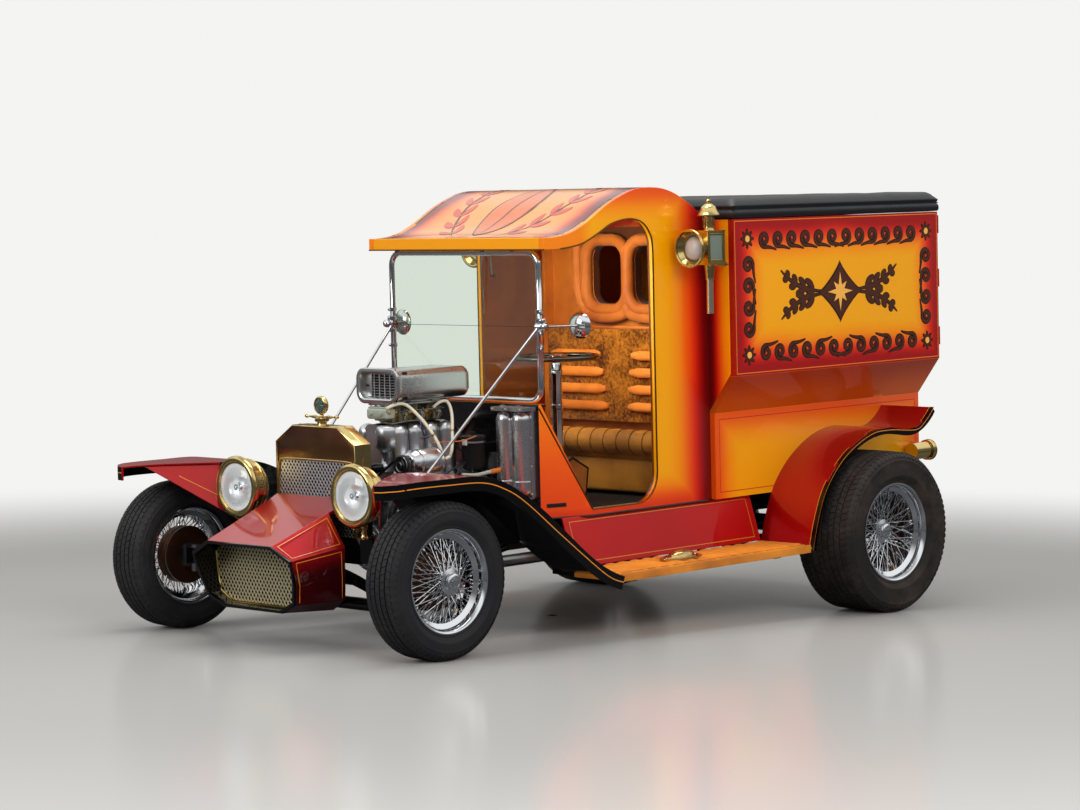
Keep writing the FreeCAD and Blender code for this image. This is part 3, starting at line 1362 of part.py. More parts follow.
def make_intake():
    """A valley cover and a round-edged plenum with four round ports on each side."""
    rear, front = mm.engine_rear, mm.engine_front
    half, low, top = mm.plenum_half, mm.plenum_low, mm.plenum_top
    valley = Part.makeBox(front - rear - 80, 200, low + 20 - 560, Vector(rear + 65, -100, 560))
    plenum = soft_block((rear + 65, -half, low), (front - 15, half, top), 34)
    ports = []
    for side in (1, -1):
        for index in range(4):
            x = rear + 100 + mm.port_pitch * index
            ports.append(capsule((x, side * (half + 18), low + 35), (x, side * (half + 12), top - 37), mm.port_radius))
            ports.append(rod((x, side * (half + 18), low + 35),
                             (x, side * (mm.bank_top + 35 - mm.head_half + 20) * LEAN, low - 68), 26))
    outlet = lathe([(0, 0), (0, 24), (78, 26), (90, 38), (100, 46), (166, 46), (180, 40), (186, 28), (186, 0)],
                   (front - 8, 62, low + 20), (0, 0, 1))
    neck = rod((front - 30, 62, 718), (front + 30, 62, 718), mm.hose_radius)
    whole = joined(valley, plenum, outlet, neck, *ports)
    for side in (1, -1):
        whole = whole.cut(make_bank(side)).cut(make_head(side))
    return whole


def make_carburettors():
    """Three carburettors in a row on the plenum, under the plate that carries the scoop."""
    rear, front, top = mm.engine_rear, mm.engine_front, mm.plenum_top
    roof = mm.scoop_level - mm.scoop_height / 2
    parts = [soft_block((rear + 75, -70, roof - 8), (front - 30, 70, roof), 12, 2)]
    for index in range(3):
        x = rear + 125 + 92 * index
        parts.append(soft_block((x - 38, -62, top), (x + 38, 62, top + 12), 10, 2))
        parts.append(soft_block((x - 26, -52, top + 10), (x + 26, 52, top + 62), 8, 2))
        for side in (1, -1):
            parts.append(rod((x, side * 27, top + 10), (x, side * 27, roof - 4), 23))
            low, high = sorted((side * 48, side * 84))
            parts.append(soft_block((x - 34, low, top + 20), (x + 12, high, top + 60), 10, 2))
            parts.append(lathe([(0, 0), (0, 15), (18, 15), (22, 10), (22, 0)], (x + 26, side * 46, top + 36),
                               (0, side, 0)))
    bowl = soft_block((front - 62, -60, top + 22), (front - 8, 62, top + 66), 12, 2)
    root = Part.makeBox(60, 60, 30, Vector(front - 75, -30, top - 2))
    raked(shaped(joined(make_intake(), bowl, root, *parts), "carburettors"), "carburettors")


def make_engine_front():
    """The timing cover with its pump, two grooved pulleys, the generator and the belt round them."""
    front, level, pump = mm.engine_front, mm.crank_height, mm.pump_height
    cover = [rod((front, 0, level), (front + 50, 0, level), 100), rod((front, 0, pump), (front + 50, 0, pump), 64),
             Part.makeBox(50, 128, pump - level, Vector(front, -64, level))]
    wheels = []
    for z, radius in ((level, mm.crank_pulley), (pump, mm.pump_pulley)):
        wheels.append(lathe([(-5, 0), (-5, 30), (4, 30), (6, radius - 6), (6, radius), (9, radius), (12, radius - 7),
                             (15, radius), (18, radius), (18, radius - 12), (12, 40), (24, 30), (28, 14), (28, 0)],
                            (front + 50, 0, z), (1, 0, 0)))
    small = mm.generator_pulley
    axis = (front - 132, mm.generator_side, mm.generator_height)
    generator = lathe([(0, 0), (0, 36), (8, 48), (26, 52), (30, 58), (56, 58), (58, 54), (100, 54), (102, 58),
                       (140, 58), (150, 50), (168, 42), (168, 14), (182, 14), (182, small - 4), (186, small), (189, small),
                       (194, small - 7), (199, small), (202, small), (205, small - 4), (205, 12), (216, 12), (216, 0)],
                      axis, (1, 0, 0))
    arm = rod((front + 22, 44, pump + 30), (front + 22, axis[1] - 30, axis[2] - 38), 11)
    pulleys = [(0, level, mm.crank_pulley), (axis[1], axis[2], small), (0, pump, mm.pump_pulley)]
    belt = belt_round(pulleys, 3).cut(belt_round(pulleys, -4)).extrude(Vector(11, 0, 0))
    belt.translate(Vector(front + 56.5, 0, 0))
    raked(shaped(joined(generator, arm, belt, *cover, *wheels), "engine_front"), "engine_front")


def make_scoop():
    """A round-edged air scoop with a rolled lip and a grid set back in its mouth."""
    half, rise = mm.scoop_width / 2, mm.scoop_height / 2
    place, lip, wall = mm.scoop_front, mm.scoop_lip, mm.scoop_wall

    def oval(front, long, inset, corner):
        return soft_block((front - long, -half + inset, mm.scoop_level - rise + inset),
                          (front, half - inset, mm.scoop_level + rise - inset), corner)

    rim = oval(place, 2 * lip, 0, 48)
    rim = rim.makeFillet(lip - 1, [edge for edge in rim.Edges if abs(edge.tangentAt(edge.FirstParameter).x) < 0.1])
    body = oval(place - lip, mm.scoop_long - lip, lip, 42)
    rear = [edge for edge in body.Edges if edge.BoundBox.XMax < place - mm.scoop_long + 1]
    body = body.makeFillet(16, rear)
    hollow = oval(place + 1, mm.scoop_long - 30, lip + wall, 38)
    bars = [Part.makeBox(4, 3, 2 * rise, Vector(place - 30, 34 * index - 22, mm.scoop_level - rise)) for index in range(4)]
    bars += [Part.makeBox(4, 160, 3, Vector(place - 34, -54, mm.scoop_level + 13 * index - 1.5)) for index in range(-4, 5)]
    bars.append(Part.makeBox(12, 56, 2 * rise, Vector(place - 34, -half + lip, mm.scoop_level - rise)))
    inside = oval(place - 5, 60, lip + 1, 41)
    base = Part.makeBox(mm.scoop_long - 80, 110, lip + 4, Vector(place - mm.scoop_long + 50, -55, mm.scoop_level - rise))
    grid = [bar.common(inside) for bar in bars]
    raked(shaped(joined(rim, body, base).cut(hollow).fuse(grid).removeSplitter(), "air_scoop"), "air_scoop")


make_block()
raked(shaped(Part.makeCompound([make_head(1), make_head(-1)]), "cylinder_heads"), "cylinder_heads")
make_carburettors()
make_engine_front()
make_scoop()


# Small lamps

def make_carriage_lamps():
    """A square lantern with a flared bell in front, a chimney, a domed cap and a long stem."""
    x, y, low, high = mm.lantern_place, mm.box_half - mm.lantern_inset, mm.lantern_low, mm.lantern_high
    half = 50
    body = [Part.makeBox(2 * half, 2 * half - 20, high - low, Vector(x - half, y - half + 10, low)),
            Part.makeBox(2 * half + 12, 2 * half - 8, 8, Vector(x - half - 6, y - half + 4, low - 8)),
            Part.makeBox(2 * half + 8, 2 * half - 12, 6, Vector(x - half - 4, y - half + 6, high))]
    window = Part.makeBox(2 * half - 24, 6, high - low - 28, Vector(x - half + 12, y + half - 16, low + 14))
    chimney = lathe([(0, 0), (0, 26), (10, 21), (62, 20), (62, 47), (67, 48), (78, 40), (100, 30), (112, 14), (114, 7),
                     (118, 10), (125, 10), (132, 4), (132, 0)], (x, y, high + 4), (0, 0, 1))
    stem = lathe([(0, 0), (0, 15), (140, 14), (140, 17), (200, 23), (204, 27), (212, 27), (212, 0)],
                 (x, y, low - 212), (0, 0, 1))
    wide = mm.bell_radius
    bell = lathe([(0, 0), (0, 38), (14, 44), (42, 58), (64, wide - 2), (68, wide), (74, wide), (74, wide - 5),
                  (44, 50), (20, 34), (14, 0)], (x + half - 2, y, mm.bell_height), (1, 0, 0))
    foot = Part.makeBox(30, y - half + 12 - mm.cab_half, 30, Vector(x - 15, mm.cab_half, low + 8))
    pin = lathe([(0, 0), (0, 5), (40, 5), (44, 9), (56, 9), (60, 4), (74, 3), (74, 0)], (x - half + 8, y, low - 11), (-1, 0, 0))
    left = shaped(joined(*body, chimney, stem, bell, foot, pin).cut(window), "carriage_lamp")
    raked(pair("carriage_lamps", left), "carriage_lamps")


def make_tail_lamps():
    body = drum("tail_drum", ALONG_X, "box_rear + 10", "lower_half + 48", "592", "38", "110")
    lens = drum("tail_ring", ALONG_X, "box_rear - 8", "lower_half + 48", "592", "46", "20")
    foot = block("tail_foot", ("box_rear + 40", "box_rear + 80"), ("lower_half", "lower_half + 20"),
                 ("580", "604"))
    raked(pair("tail_lamps", fused("tail_lamp", body, lens, foot)), "tail_lamps")


make_carriage_lamps()
make_tail_lamps()

doc.recompute()
failed = [item.Label for item in doc.Objects if "Invalid" in item.State or "Error" in item.State]
failed += [item.Label for item in nodes if item.Shape.isNull() or not item.Shape.isValid()]
if failed:
    raise RuntimeError("these pieces did not build: " + ", ".join(failed))
os.makedirs("parts", exist_ok=True)
for item in nodes:
    item.Shape.exportStep(f"parts/{item.Label}.step")
    print(item.Label, len(item.Shape.Solids), round(item.Shape.Volume / 1000))
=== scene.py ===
"""Looks of an open-engined C-cab delivery hot rod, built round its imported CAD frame.

The body, frame and engine are drawn in millimetres in the level body frame, as in the part's
source, and then tipped nose down by the rake. Wheels are drawn about their own axles.
"""
import json
import math
from functools import partialmethod

import bmesh
import bpy
from mathutils import Matrix, Vector, noise

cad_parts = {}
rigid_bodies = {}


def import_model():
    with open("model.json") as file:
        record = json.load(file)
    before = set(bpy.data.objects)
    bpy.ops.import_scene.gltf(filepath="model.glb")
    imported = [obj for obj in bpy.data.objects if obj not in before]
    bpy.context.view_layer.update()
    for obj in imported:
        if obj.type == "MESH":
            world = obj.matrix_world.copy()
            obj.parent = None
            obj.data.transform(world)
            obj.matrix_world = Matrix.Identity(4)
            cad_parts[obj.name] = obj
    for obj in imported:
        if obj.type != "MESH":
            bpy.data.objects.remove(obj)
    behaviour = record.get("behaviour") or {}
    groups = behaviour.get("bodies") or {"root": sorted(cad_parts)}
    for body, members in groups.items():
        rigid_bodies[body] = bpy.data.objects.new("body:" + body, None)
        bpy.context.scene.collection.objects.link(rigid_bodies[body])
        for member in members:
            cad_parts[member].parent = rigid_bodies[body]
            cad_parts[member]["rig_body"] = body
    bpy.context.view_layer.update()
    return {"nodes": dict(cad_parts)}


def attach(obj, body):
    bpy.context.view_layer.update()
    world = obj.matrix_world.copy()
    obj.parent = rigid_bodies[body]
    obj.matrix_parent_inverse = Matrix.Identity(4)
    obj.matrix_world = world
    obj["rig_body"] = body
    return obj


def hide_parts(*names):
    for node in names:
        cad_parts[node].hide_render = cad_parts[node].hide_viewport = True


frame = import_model()
scene = bpy.context.scene


def at(x, y, z):
    return Matrix.Translation((x, y, z))


RAKE = math.radians(2.2)
BODY_PLACE = 32
MM = Matrix.Scale(0.001, 4)
TIPPED = at(BODY_PLACE / 1000, 0, 0) @ Matrix.Rotation(RAKE, 4, "Y") @ MM
LEVEL = TIPPED.inverted()
FLIP = Matrix.Diagonal((1, -1, 1, 1))
CHASSIS = "chassis"
FORWARD = (1, 0, 0)
SIDES = (("left", 1), ("right", -1))

# The box's ends along X, its upper and lower sides' heights, and how far out they stand.
BOX_REAR, BOX_NOSE = -1830, -440
UPPER_LOW, UPPER_TOP, UPPER_FACE = 1011, 1668, 668
LOWER_LOW, LOWER_TOP, LOWER_FACE = 486, 850, 545


# Camera, stage and lights

def make_camera():
    """The photograph's long lens, from ahead and to the left of the vehicle."""
    aside = Vector((-0.70432, 0.709877, 0.002824))
    upward = Vector((-0.02885, -0.032599, 0.999052))
    ahead = Vector((-0.709296, -0.703571, -0.04344))
    lens = bpy.data.cameras.new("camera")
    lens.sensor_width = 36
    lens.lens = 103.88
    lens.clip_end = 200
    camera = bpy.data.objects.new("camera", lens)
    turn = Matrix((aside, upward, -ahead)).transposed().to_4x4()
    camera.matrix_world = at(9.47485, 9.27654, 1.47215) @ turn
    scene.collection.objects.link(camera)
    scene.camera = camera


def hue(text):
    """A colour written as six hexadecimal digits, as the linear values that nodes take."""
    parts = [int(text[i:i + 2], 16) / 255 for i in (0, 2, 4)]
    return tuple(p / 12.92 if p < 0.04045 else ((p + 0.055) / 1.055) ** 2.4 for p in parts) + (1.0,)


class Value:
    """A socket of a node tree, with Python's arithmetic on it."""

    def __init__(self, owner, socket):
        self.owner = owner
        self.socket = socket

    def op(self, operation, *others):
        return self.owner.node("ShaderNodeMath", {"operation": operation}, 0, self, *others)

    __add__ = __radd__ = partialmethod(op, "ADD")
    __mul__ = __rmul__ = partialmethod(op, "MULTIPLY")
    __sub__ = partialmethod(op, "SUBTRACT")
    __truediv__ = partialmethod(op, "DIVIDE")
    __pow__ = partialmethod(op, "POWER")
    most = partialmethod(op, "MAXIMUM")
    least = partialmethod(op, "MINIMUM")
    size = partialmethod(op, "ABSOLUTE")

    def __rsub__(self, other):
        return self.owner.node("ShaderNodeMath", {"operation": "SUBTRACT"}, 0, other, self)

    def between(self, low, high, first=0.0, last=1.0):
        """Rise smoothly from first to last while the value goes from low to high."""
        return self.owner.node("ShaderNodeMapRange", {"interpolation_type": "SMOOTHSTEP"}, 0,
                               self, low, high, first, last)


class Nodes:
    """A node tree to which any node is added by one call."""

    def __init__(self, tree):
        self.tree = tree

    def plug(self, socket, value):
        """Link a value to a socket, or set a number, a vector or a colour's text on it."""
        if isinstance(value, Value):
            self.tree.links.new(value.socket, socket)
        else:
            socket.default_value = hue(value) if isinstance(value, str) else value

    def node(self, kind, settings, output, *inputs, **named):
        made = self.tree.nodes.new(kind)
        for key, value in settings.items():
            setattr(made, key, value)
        for key, value in [*enumerate(inputs), *named.items()]:
            self.plug(made.inputs[key.replace("_", " ") if isinstance(key, str) else key], value)
        return Value(self, made.outputs[output])

    def split(self, vector):
        """The three parts of a vector."""
        made = self.tree.nodes.new("ShaderNodeSeparateXYZ")
        self.plug(made.inputs[0], vector)
        return [Value(self, socket) for socket in made.outputs]

    def ray(self, kind):
        return self.node("ShaderNodeLightPath", {}, f"Is {kind} Ray")


SLOTS = {
    "paint_orange": "cab_lacquer box_lacquer box_front_lacquer roof_lacquer pinstripe_gold ornament_outline "
                    "ornament_brown ornament_lights edge_line_orange",
    "paint_red": "roof_leaf roof_leaf_red roof_branch apron_red fender_red nose_red lower_line_red",
    "chassis_black": "black_enamel satin_black firewall_black console_edge",
    "chrome": "chrome", "brass": "brass bronze_face dark_gold_trim pale_brass_mesh dull_brass pale_stem",
    "tyre_rubber": "front_rubber rear_rubber",
         "polished_alloy": "polished_alloy scoop_alloy scoop_plate intake_alloy",
    "engine_alloy": "cast_alloy carburettor_alloy sage_grey_enamel",
         "glass": "pane_glass lens_glass ruby_glass "
    "silvered_reflector lantern_pane lantern_dome gauge_face pale_enamel",
    "leather_tan": "cab_hide recess_hide seat_hide orange_hide crushed_velvet dark_thread console_hide",
    "roof_vinyl": "padded_vinyl", "mesh_dark": "radiator_core_black", "carpet": "floor_mat",
    "board_leather": "board_hide board_edge_hide", "iron": "oiled_iron brake_drum_iron",
    "hose_rubber": "cream_hose orange_wire dark_lead olive_plastic belt_rubber"}


class Finish(Nodes):
    """A material for one finish of the vehicle, in the record's slot that lists its name."""

    def __init__(self, name, colour="808080", **sockets):
        self.material = bpy.data.materials.new(name)
        self.slot = next((slot for slot, names in SLOTS.items() if name in names.split()), "steel")
        self.material.use_nodes = True
        super().__init__(self.material.node_tree)
        self.shader = self.tree.nodes["Principled BSDF"]
        self.set(Base_Color=colour, **sockets)

    def set(self, **sockets):
        for key, value in sockets.items():
            self.plug(self.shader.inputs[key.replace("_", " ")], value)
        return self

    def place(self):
        """The point on the piece, in metres."""
        return self.node("ShaderNodeTexCoord", {}, "Object")

    def level(self):
        """The point in the level body frame, in millimetres."""
        x, y, z = self.split(self.place())
        x = (x - BODY_PLACE / 1000) * 1000
        z = z * 1000
        cosine, sine = math.cos(RAKE), math.sin(RAKE)
        return x * cosine - z * sine, y * 1000, x * sine + z * cosine

    def noise(self, scale, detail=4.0, roughness=0.5, stretch=(1, 1, 1)):
        where = self.place()
        if stretch != (1, 1, 1):
            where = self.node("ShaderNodeVectorMath", {"operation": "MULTIPLY"}, 0, where, stretch)
        return self.node("ShaderNodeTexNoise", {}, "Fac", Vector=where, Scale=scale, Detail=detail,
                         Roughness=roughness)

    def mix(self, amount, first, second):
        """A colour from first to second."""
        made = self.tree.nodes.new("ShaderNodeMix")
        made.data_type = "RGBA"
        for socket, value in ((0, amount), (6, first), (7, second)):
            self.plug(made.inputs[socket], value)
        return Value(self, made.outputs[2])

    def ramp(self, amount, *stops):
        """A colour that runs through stops of a place and a colour."""
        made = self.tree.nodes.new("ShaderNodeValToRGB")
        scale = made.color_ramp.elements
        while len(scale) < len(stops):
            scale.new(1.0)
        for element, (spot, colour) in zip(scale, stops):
            element.position = spot
            element.color = hue(colour)
        self.plug(made.inputs[0], amount)
        return Value(self, made.outputs[0])

    def bump(self, height, distance, strength):
        """A normal raised by a height, which is in shares of the distance in metres."""
        return self.node("ShaderNodeBump", {}, 0, Height=height, Distance=distance, Strength=strength)


def make_stage():
    """A plain pale floor that runs out into a pale background, and looks darker in polished metal."""
    edge = 60
    mesh = bpy.data.meshes.new("floor")
    mesh.from_pydata([(-edge, -edge, 0), (edge, -edge, 0), (edge, edge, 0), (-edge, edge, 0)], [],
                     [(0, 1, 2, 3)])
    floor = bpy.data.objects.new("floor", mesh)
    scene.collection.objects.link(floor)
    pale = Finish("floor", "d9d8d5", Roughness=0.16, Specular_IOR_Level=0.35)
    x, y, z = pale.split(pale.place())
    far = ((x * x + y * y) ** 0.5).between(3.4, 8.5)
    mirrored = pale.ray("Glossy") * (1 - pale.ray("Transmission"))
    pale.set(Base_Color=pale.mix(mirrored, "d9d8d5", "4c4c50"))
    glow = pale.node("ShaderNodeEmission", {}, 0, Color=pale.mix(mirrored, "f4f4f2", "505054"), Strength=1.0)
    mixed = pale.node("ShaderNodeMixShader", {}, 0, far, Value(pale, pale.shader.outputs[0]), glow)
    pale.plug(pale.tree.nodes["Material Output"].inputs[0], mixed)
    mesh.materials.append(pale.material)


def make_world():
    """Soft studio light from all round, with a darker side that polished metal shows."""
    world = bpy.data.worlds.new("studio")
    scene.world = world
    world.use_nodes = True
    sky = Nodes(world.node_tree)
    z = sky.split(sky.node("ShaderNodeTexCoord", {}, "Generated"))[2]
    soft = 0.80 - z.between(0.3, 0.9) * 0.2
    polished = 0.16 + z.between(0.22, 0.5) * 0.95 - z.between(0.7, 0.95) * 0.6
    light = soft + sky.ray("Glossy") * (polished - soft)
    clear = sky.ray("Camera").most(sky.ray("Transmission"))
    shade = sky.tree.nodes["Background"]
    sky.plug(shade.inputs[0], "f4f4f2")
    sky.plug(shade.inputs[1], light + clear * (1.0 - light))


def make_lamps():
    """Two wide soft boxes, a top light and a small one under the cab's roof."""
    for name, place, aim, wide, tall, power in (
            ("key", (3.5, 7.5, 4.6), (0.2, 0, 0.9), 5.0, 2.4, 260),
            ("front", (7.5, -1.5, 3.2), (0.5, 0, 0.8), 3.2, 2.2, 120),
            ("top", (0, 0, 6.0), (0, 0, 0), 5.0, 3.0, 150),
            ("cab", (0.3, 0.1, 1.52), (-0.45, 0, 1.0), 0.4, 0.4, 9)):
        lamp = bpy.data.lights.new(name, "AREA")
        lamp.shape = "RECTANGLE"
        lamp.size = wide
        lamp.size_y = tall
        lamp.energy = power
        holder = bpy.data.objects.new(name, lamp)
        holder.location = place
        holder.rotation_euler = (Vector(aim) - Vector(place)).to_track_quat("-Z", "Y").to_euler()
        holder.visible_camera = False
        holder.visible_glossy = name in ("front", "top")
        scene.collection.objects.link(holder)


make_camera()
make_stage()
make_world()
make_lamps()
scene.view_settings.view_transform = "Standard"


# Ways of making pieces

def node_body(node):
    """The body that a CAD node rides on."""
    return frame["nodes"][node]["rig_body"]


def piece(name, source, finish, place=TIPPED, body=CHASSIS, sharp=35, stands_for=(), twin=False):
    """A finished object from one or several bmeshes in millimetres, moved to its place. A twin is
    mirrored to the other side too."""
    work = merged(*source) if isinstance(source, list) else source
    if twin:
        work = both_sides(work)
    mesh = bpy.data.meshes.new(name)
    work.to_mesh(mesh)
    work.free()
    mesh.transform(place)
    mesh.shade_smooth()
    mesh.set_sharp_from_angle(angle=math.radians(sharp))
    item = bpy.data.objects.new(name, mesh)
    scene.collection.objects.link(item)
    for one in finish if isinstance(finish, tuple) else [finish]:
        mesh.materials.append(one.material)
    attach(item, body)
    if stands_for:
        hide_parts(*stands_for)
    return item


def soften(item, width, segments=2, angle=30):
    """Round the hard edges, as pressed and painted panels have them."""
    edge = item.modifiers.new("edge", "BEVEL")
    edge.width = width / 1000
    edge.segments = segments
    edge.limit_method = "ANGLE"
    edge.angle_limit = math.radians(angle)
    edge.use_clamp_overlap = True
    edge.harden_normals = True


def from_cad(name, node, finish, bevel=1.5, segments=2, without=None, second=None):
    """The CAD node's own shape, merged into clean panels with softened edges. The tests take a face's
    middle in the level body frame and its normal. Faces that meet the one test are left out. The
    other test chooses the second finish."""
    work = bmesh.new()
    work.from_mesh(frame["nodes"][node].data)
    bmesh.ops.remove_doubles(work, verts=work.verts, dist=0.00002)

    def chosen(test):
        return [face for face in work.faces if test(LEVEL @ face.calc_center_median(), face.normal)]

    if without:
        bmesh.ops.delete(work, geom=chosen(without), context="FACES")
    bmesh.ops.dissolve_limit(work, angle_limit=math.radians(0.6), verts=work.verts, edges=work.edges)
    for face in chosen(second) if second else ():
        face.material_index = 1
    item = piece(name, work, finish, Matrix(), node_body(node), 30, (node,))
    if bevel:
        soften(item, bevel, segments)
    return item


def merged(*works):
    """Several bmeshes as one."""
    whole = works[0]
    for work in works[1:]:
        mesh = bpy.data.meshes.new("part")
        work.to_mesh(mesh)
        work.free()
        whole.from_mesh(mesh)
        bpy.data.meshes.remove(mesh)
    return whole


def moved(work, matrix):
    bmesh.ops.transform(work, matrix=matrix, verts=work.verts)
    return work


def both_sides(work):
    """A piece and its mirror image on the other side."""
    twin = moved(work.copy(), FLIP)
    bmesh.ops.reverse_faces(twin, faces=twin.faces)
    return merged(work, twin)


def facing_out(work):
    bmesh.ops.recalc_face_normals(work, faces=work.faces)
    return work


def aimed(point, direction, up=(0, 0, 1)):
    """A place whose Z runs along a direction."""
    z = Vector(direction).normalized()
    x = Vector(up).cross(z)
    if x.length < 1e-4:
        x = Vector((1, 0, 0)).cross(z)
        if x.length < 1e-4:
            x = Vector((0, 1, 0)).cross(z)
    x.normalize()
    y = z.cross(x)
    return Matrix.Translation(point) @ Matrix((x, y, z)).transposed().to_4x4()


def turns(count):
    """Angles of equal steps round a circle."""
    return [2 * math.pi * k / count for k in range(count)]


def oval(x, y, wide, tall, count):
    """Points round an oval."""
    return [(x + wide * math.cos(t), y + tall * math.sin(t)) for t in turns(count)]


def rounded_ring(x, y, z, wide, tall, corner, steps=8):
    """A rectangle with round corners in the YZ plane, by its middle and half its sides."""
    ring = []
    for hand, lift, start in ((1, 1, 0), (-1, 1, 90), (-1, -1, 180), (1, -1, 270)):
        for step in range(steps + 1):
            turn = math.radians(start + 90 * step / steps)
            ring.append((x, y + hand * (wide - corner) + corner * math.cos(turn),
                         z + lift * (tall - corner) + corner * math.sin(turn)))
    return ring


def skin(rings, closed=True, capped=False, looped=False):
    """Faces between rings of as many points each."""
    work = bmesh.new()
    rows = [[work.verts.new(point) for point in ring] for ring in rings]
    count = len(rows[0])
    for index in range(len(rows) if looped else len(rows) - 1):
        first, second = rows[index], rows[(index + 1) % len(rows)]
        for step in range(count if closed else count - 1):
            ahead = (step + 1) % count
            work.faces.new((first[step], first[ahead], second[ahead], second[step]))
    if capped:
        work.faces.new(list(reversed(rows[0])))
        work.faces.new(rows[-1])
    return facing_out(work)


def spread(xs, ys, height):
    """A grid of points at a height over its own plane, and the vertices round its edge."""
    work = bmesh.new()
    rows = [[work.verts.new((x, y, height(x, y))) for y in ys] for x in xs]
    for first, second in zip(rows, rows[1:]):
        for j in range(len(ys) - 1):
            work.faces.new((first[j], second[j], second[j + 1], first[j + 1]))
    edge = [row[0] for row in rows] + rows[-1][1:] + [row[-1] for row in rows[-2::-1]] + rows[0][-2:0:-1]
    return work, edge


def walled(work, first, second):
    """Faces between two closed rings of vertices."""
    for k in range(len(first)):
        n = (k + 1) % len(first)
        work.faces.new((first[k], first[n], second[n], second[k]))
    return second


def lathe(profile, steps=48):
    """A shape turned about Z from points of a radius and a height. Radius 0 closes an end."""
    work = bmesh.new()
    rows = []
    for radius, height in profile:
        spots = [(radius * math.cos(t), radius * math.sin(t))
                 for t in turns(steps)] if radius > 1e-6 else [(0, 0)]
        rows.append([work.verts.new((*spot, height)) for spot in spots])
    for first, second in zip(rows, rows[1:]):
        for i in range(steps):
            j = (i + 1) % steps
            corners = [first[i % len(first)], first[j % len(first)], second[j % len(second)],
                       second[i % len(second)]]
            corners = list(dict.fromkeys(corners))
            if len(corners) > 2:
                work.faces.new(corners)
    return facing_out(work)


def turned(profile, steps, point, way):
    """A lathed shape that stands on a point and faces one way."""
    return moved(lathe(profile, steps), aimed(point, way))


def smooth_path(points, steps=8):
    """A line through the points, rounded between them."""
    spots = [Vector(point) for point in points]
    last = len(spots) - 1
    line = []
    for index in range(last):
        a, b, c, d = (spots[min(max(index + k, 0), last)] for k in (-1, 0, 1, 2))
        for step in range(steps):
            t = step / steps
            line.append(0.5 * ((2 * b) + (c - a) * t + (2 * a - 5 * b + 4 * c - d) * t * t
                               + (3 * b - a - 3 * c + d) * t ** 3))
    return line + [spots[-1]]


def pipe(points, radius, sides=12, closed=False):
    """A round bar along a line of points, whose radius may change along it."""
    spots = [Vector(point) for point in points]
    count = len(spots)
    radii = radius if isinstance(radius, list) else [radius] * count
    rings = []
    across = None
    for index, spot in enumerate(spots):
        before = spots[index - 1] if index or closed else spot
        after = spots[(index + 1) % count] if index < count - 1 or closed else spot
        run = (after - before).normalized()
        if across is None:
            across = run.orthogonal().normalized()
        across = (across - run * across.dot(run)).normalized()
        side = run.cross(across)
        rings.append([spot + (across * math.cos(t) + side * math.sin(t)) * radii[index] for t in turns(sides)])
    return skin(rings, capped=not closed, looped=closed)


def bar(start, end, radius, sides=16, tip=None):
    """A straight round bar with slightly eased ends."""
    first, last = Vector(start), Vector(end)
    run = last - first
    tip = radius if tip is None else tip
    ease = min(radius * 0.15, run.length * 0.1)
    profile = [(0, 0), (radius - ease, 0), (radius, ease), (tip, run.length - ease),
               (tip - ease, run.length), (0, run.length)]
    return turned(profile, sides, first, run)


def rounded(work, corner, steps):
    bmesh.ops.bevel(work, geom=work.edges[:], offset=corner, segments=steps, profile=0.5, affect="EDGES")
    return work


def slab(low, high, corner=2.0, steps=3):
    """A block with rounded edges, between two corners."""
    work = bmesh.new()
    bmesh.ops.create_cube(work, size=1)
    low, high = Vector(low), Vector(high)
    size = high - low
    moved(work, Matrix.Translation((low + high) / 2) @ Matrix.Diagonal((*size, 1)))
    return rounded(work, min(corner, min(size) * 0.49), steps)


def cast(points, low, high, plane="YZ", corner=0.0, steps=3):
    """A plate or block with a flat outline, between two distances across its plane."""
    work = bmesh.new()

    def laid(a, b, c):
        return (c, a, b) if plane == "YZ" else (a, b, c)

    face = work.faces.new([work.verts.new(laid(a, b, low)) for a, b in points])
    grown = bmesh.ops.extrude_face_region(work, geom=[face])
    far = [part for part in grown["geom"] if isinstance(part, bmesh.types.BMVert)]
    bmesh.ops.translate(work, vec=Vector(laid(0, 0, high - low)), verts=far)
    facing_out(work)
    return rounded(work, corner, steps) if corner else work


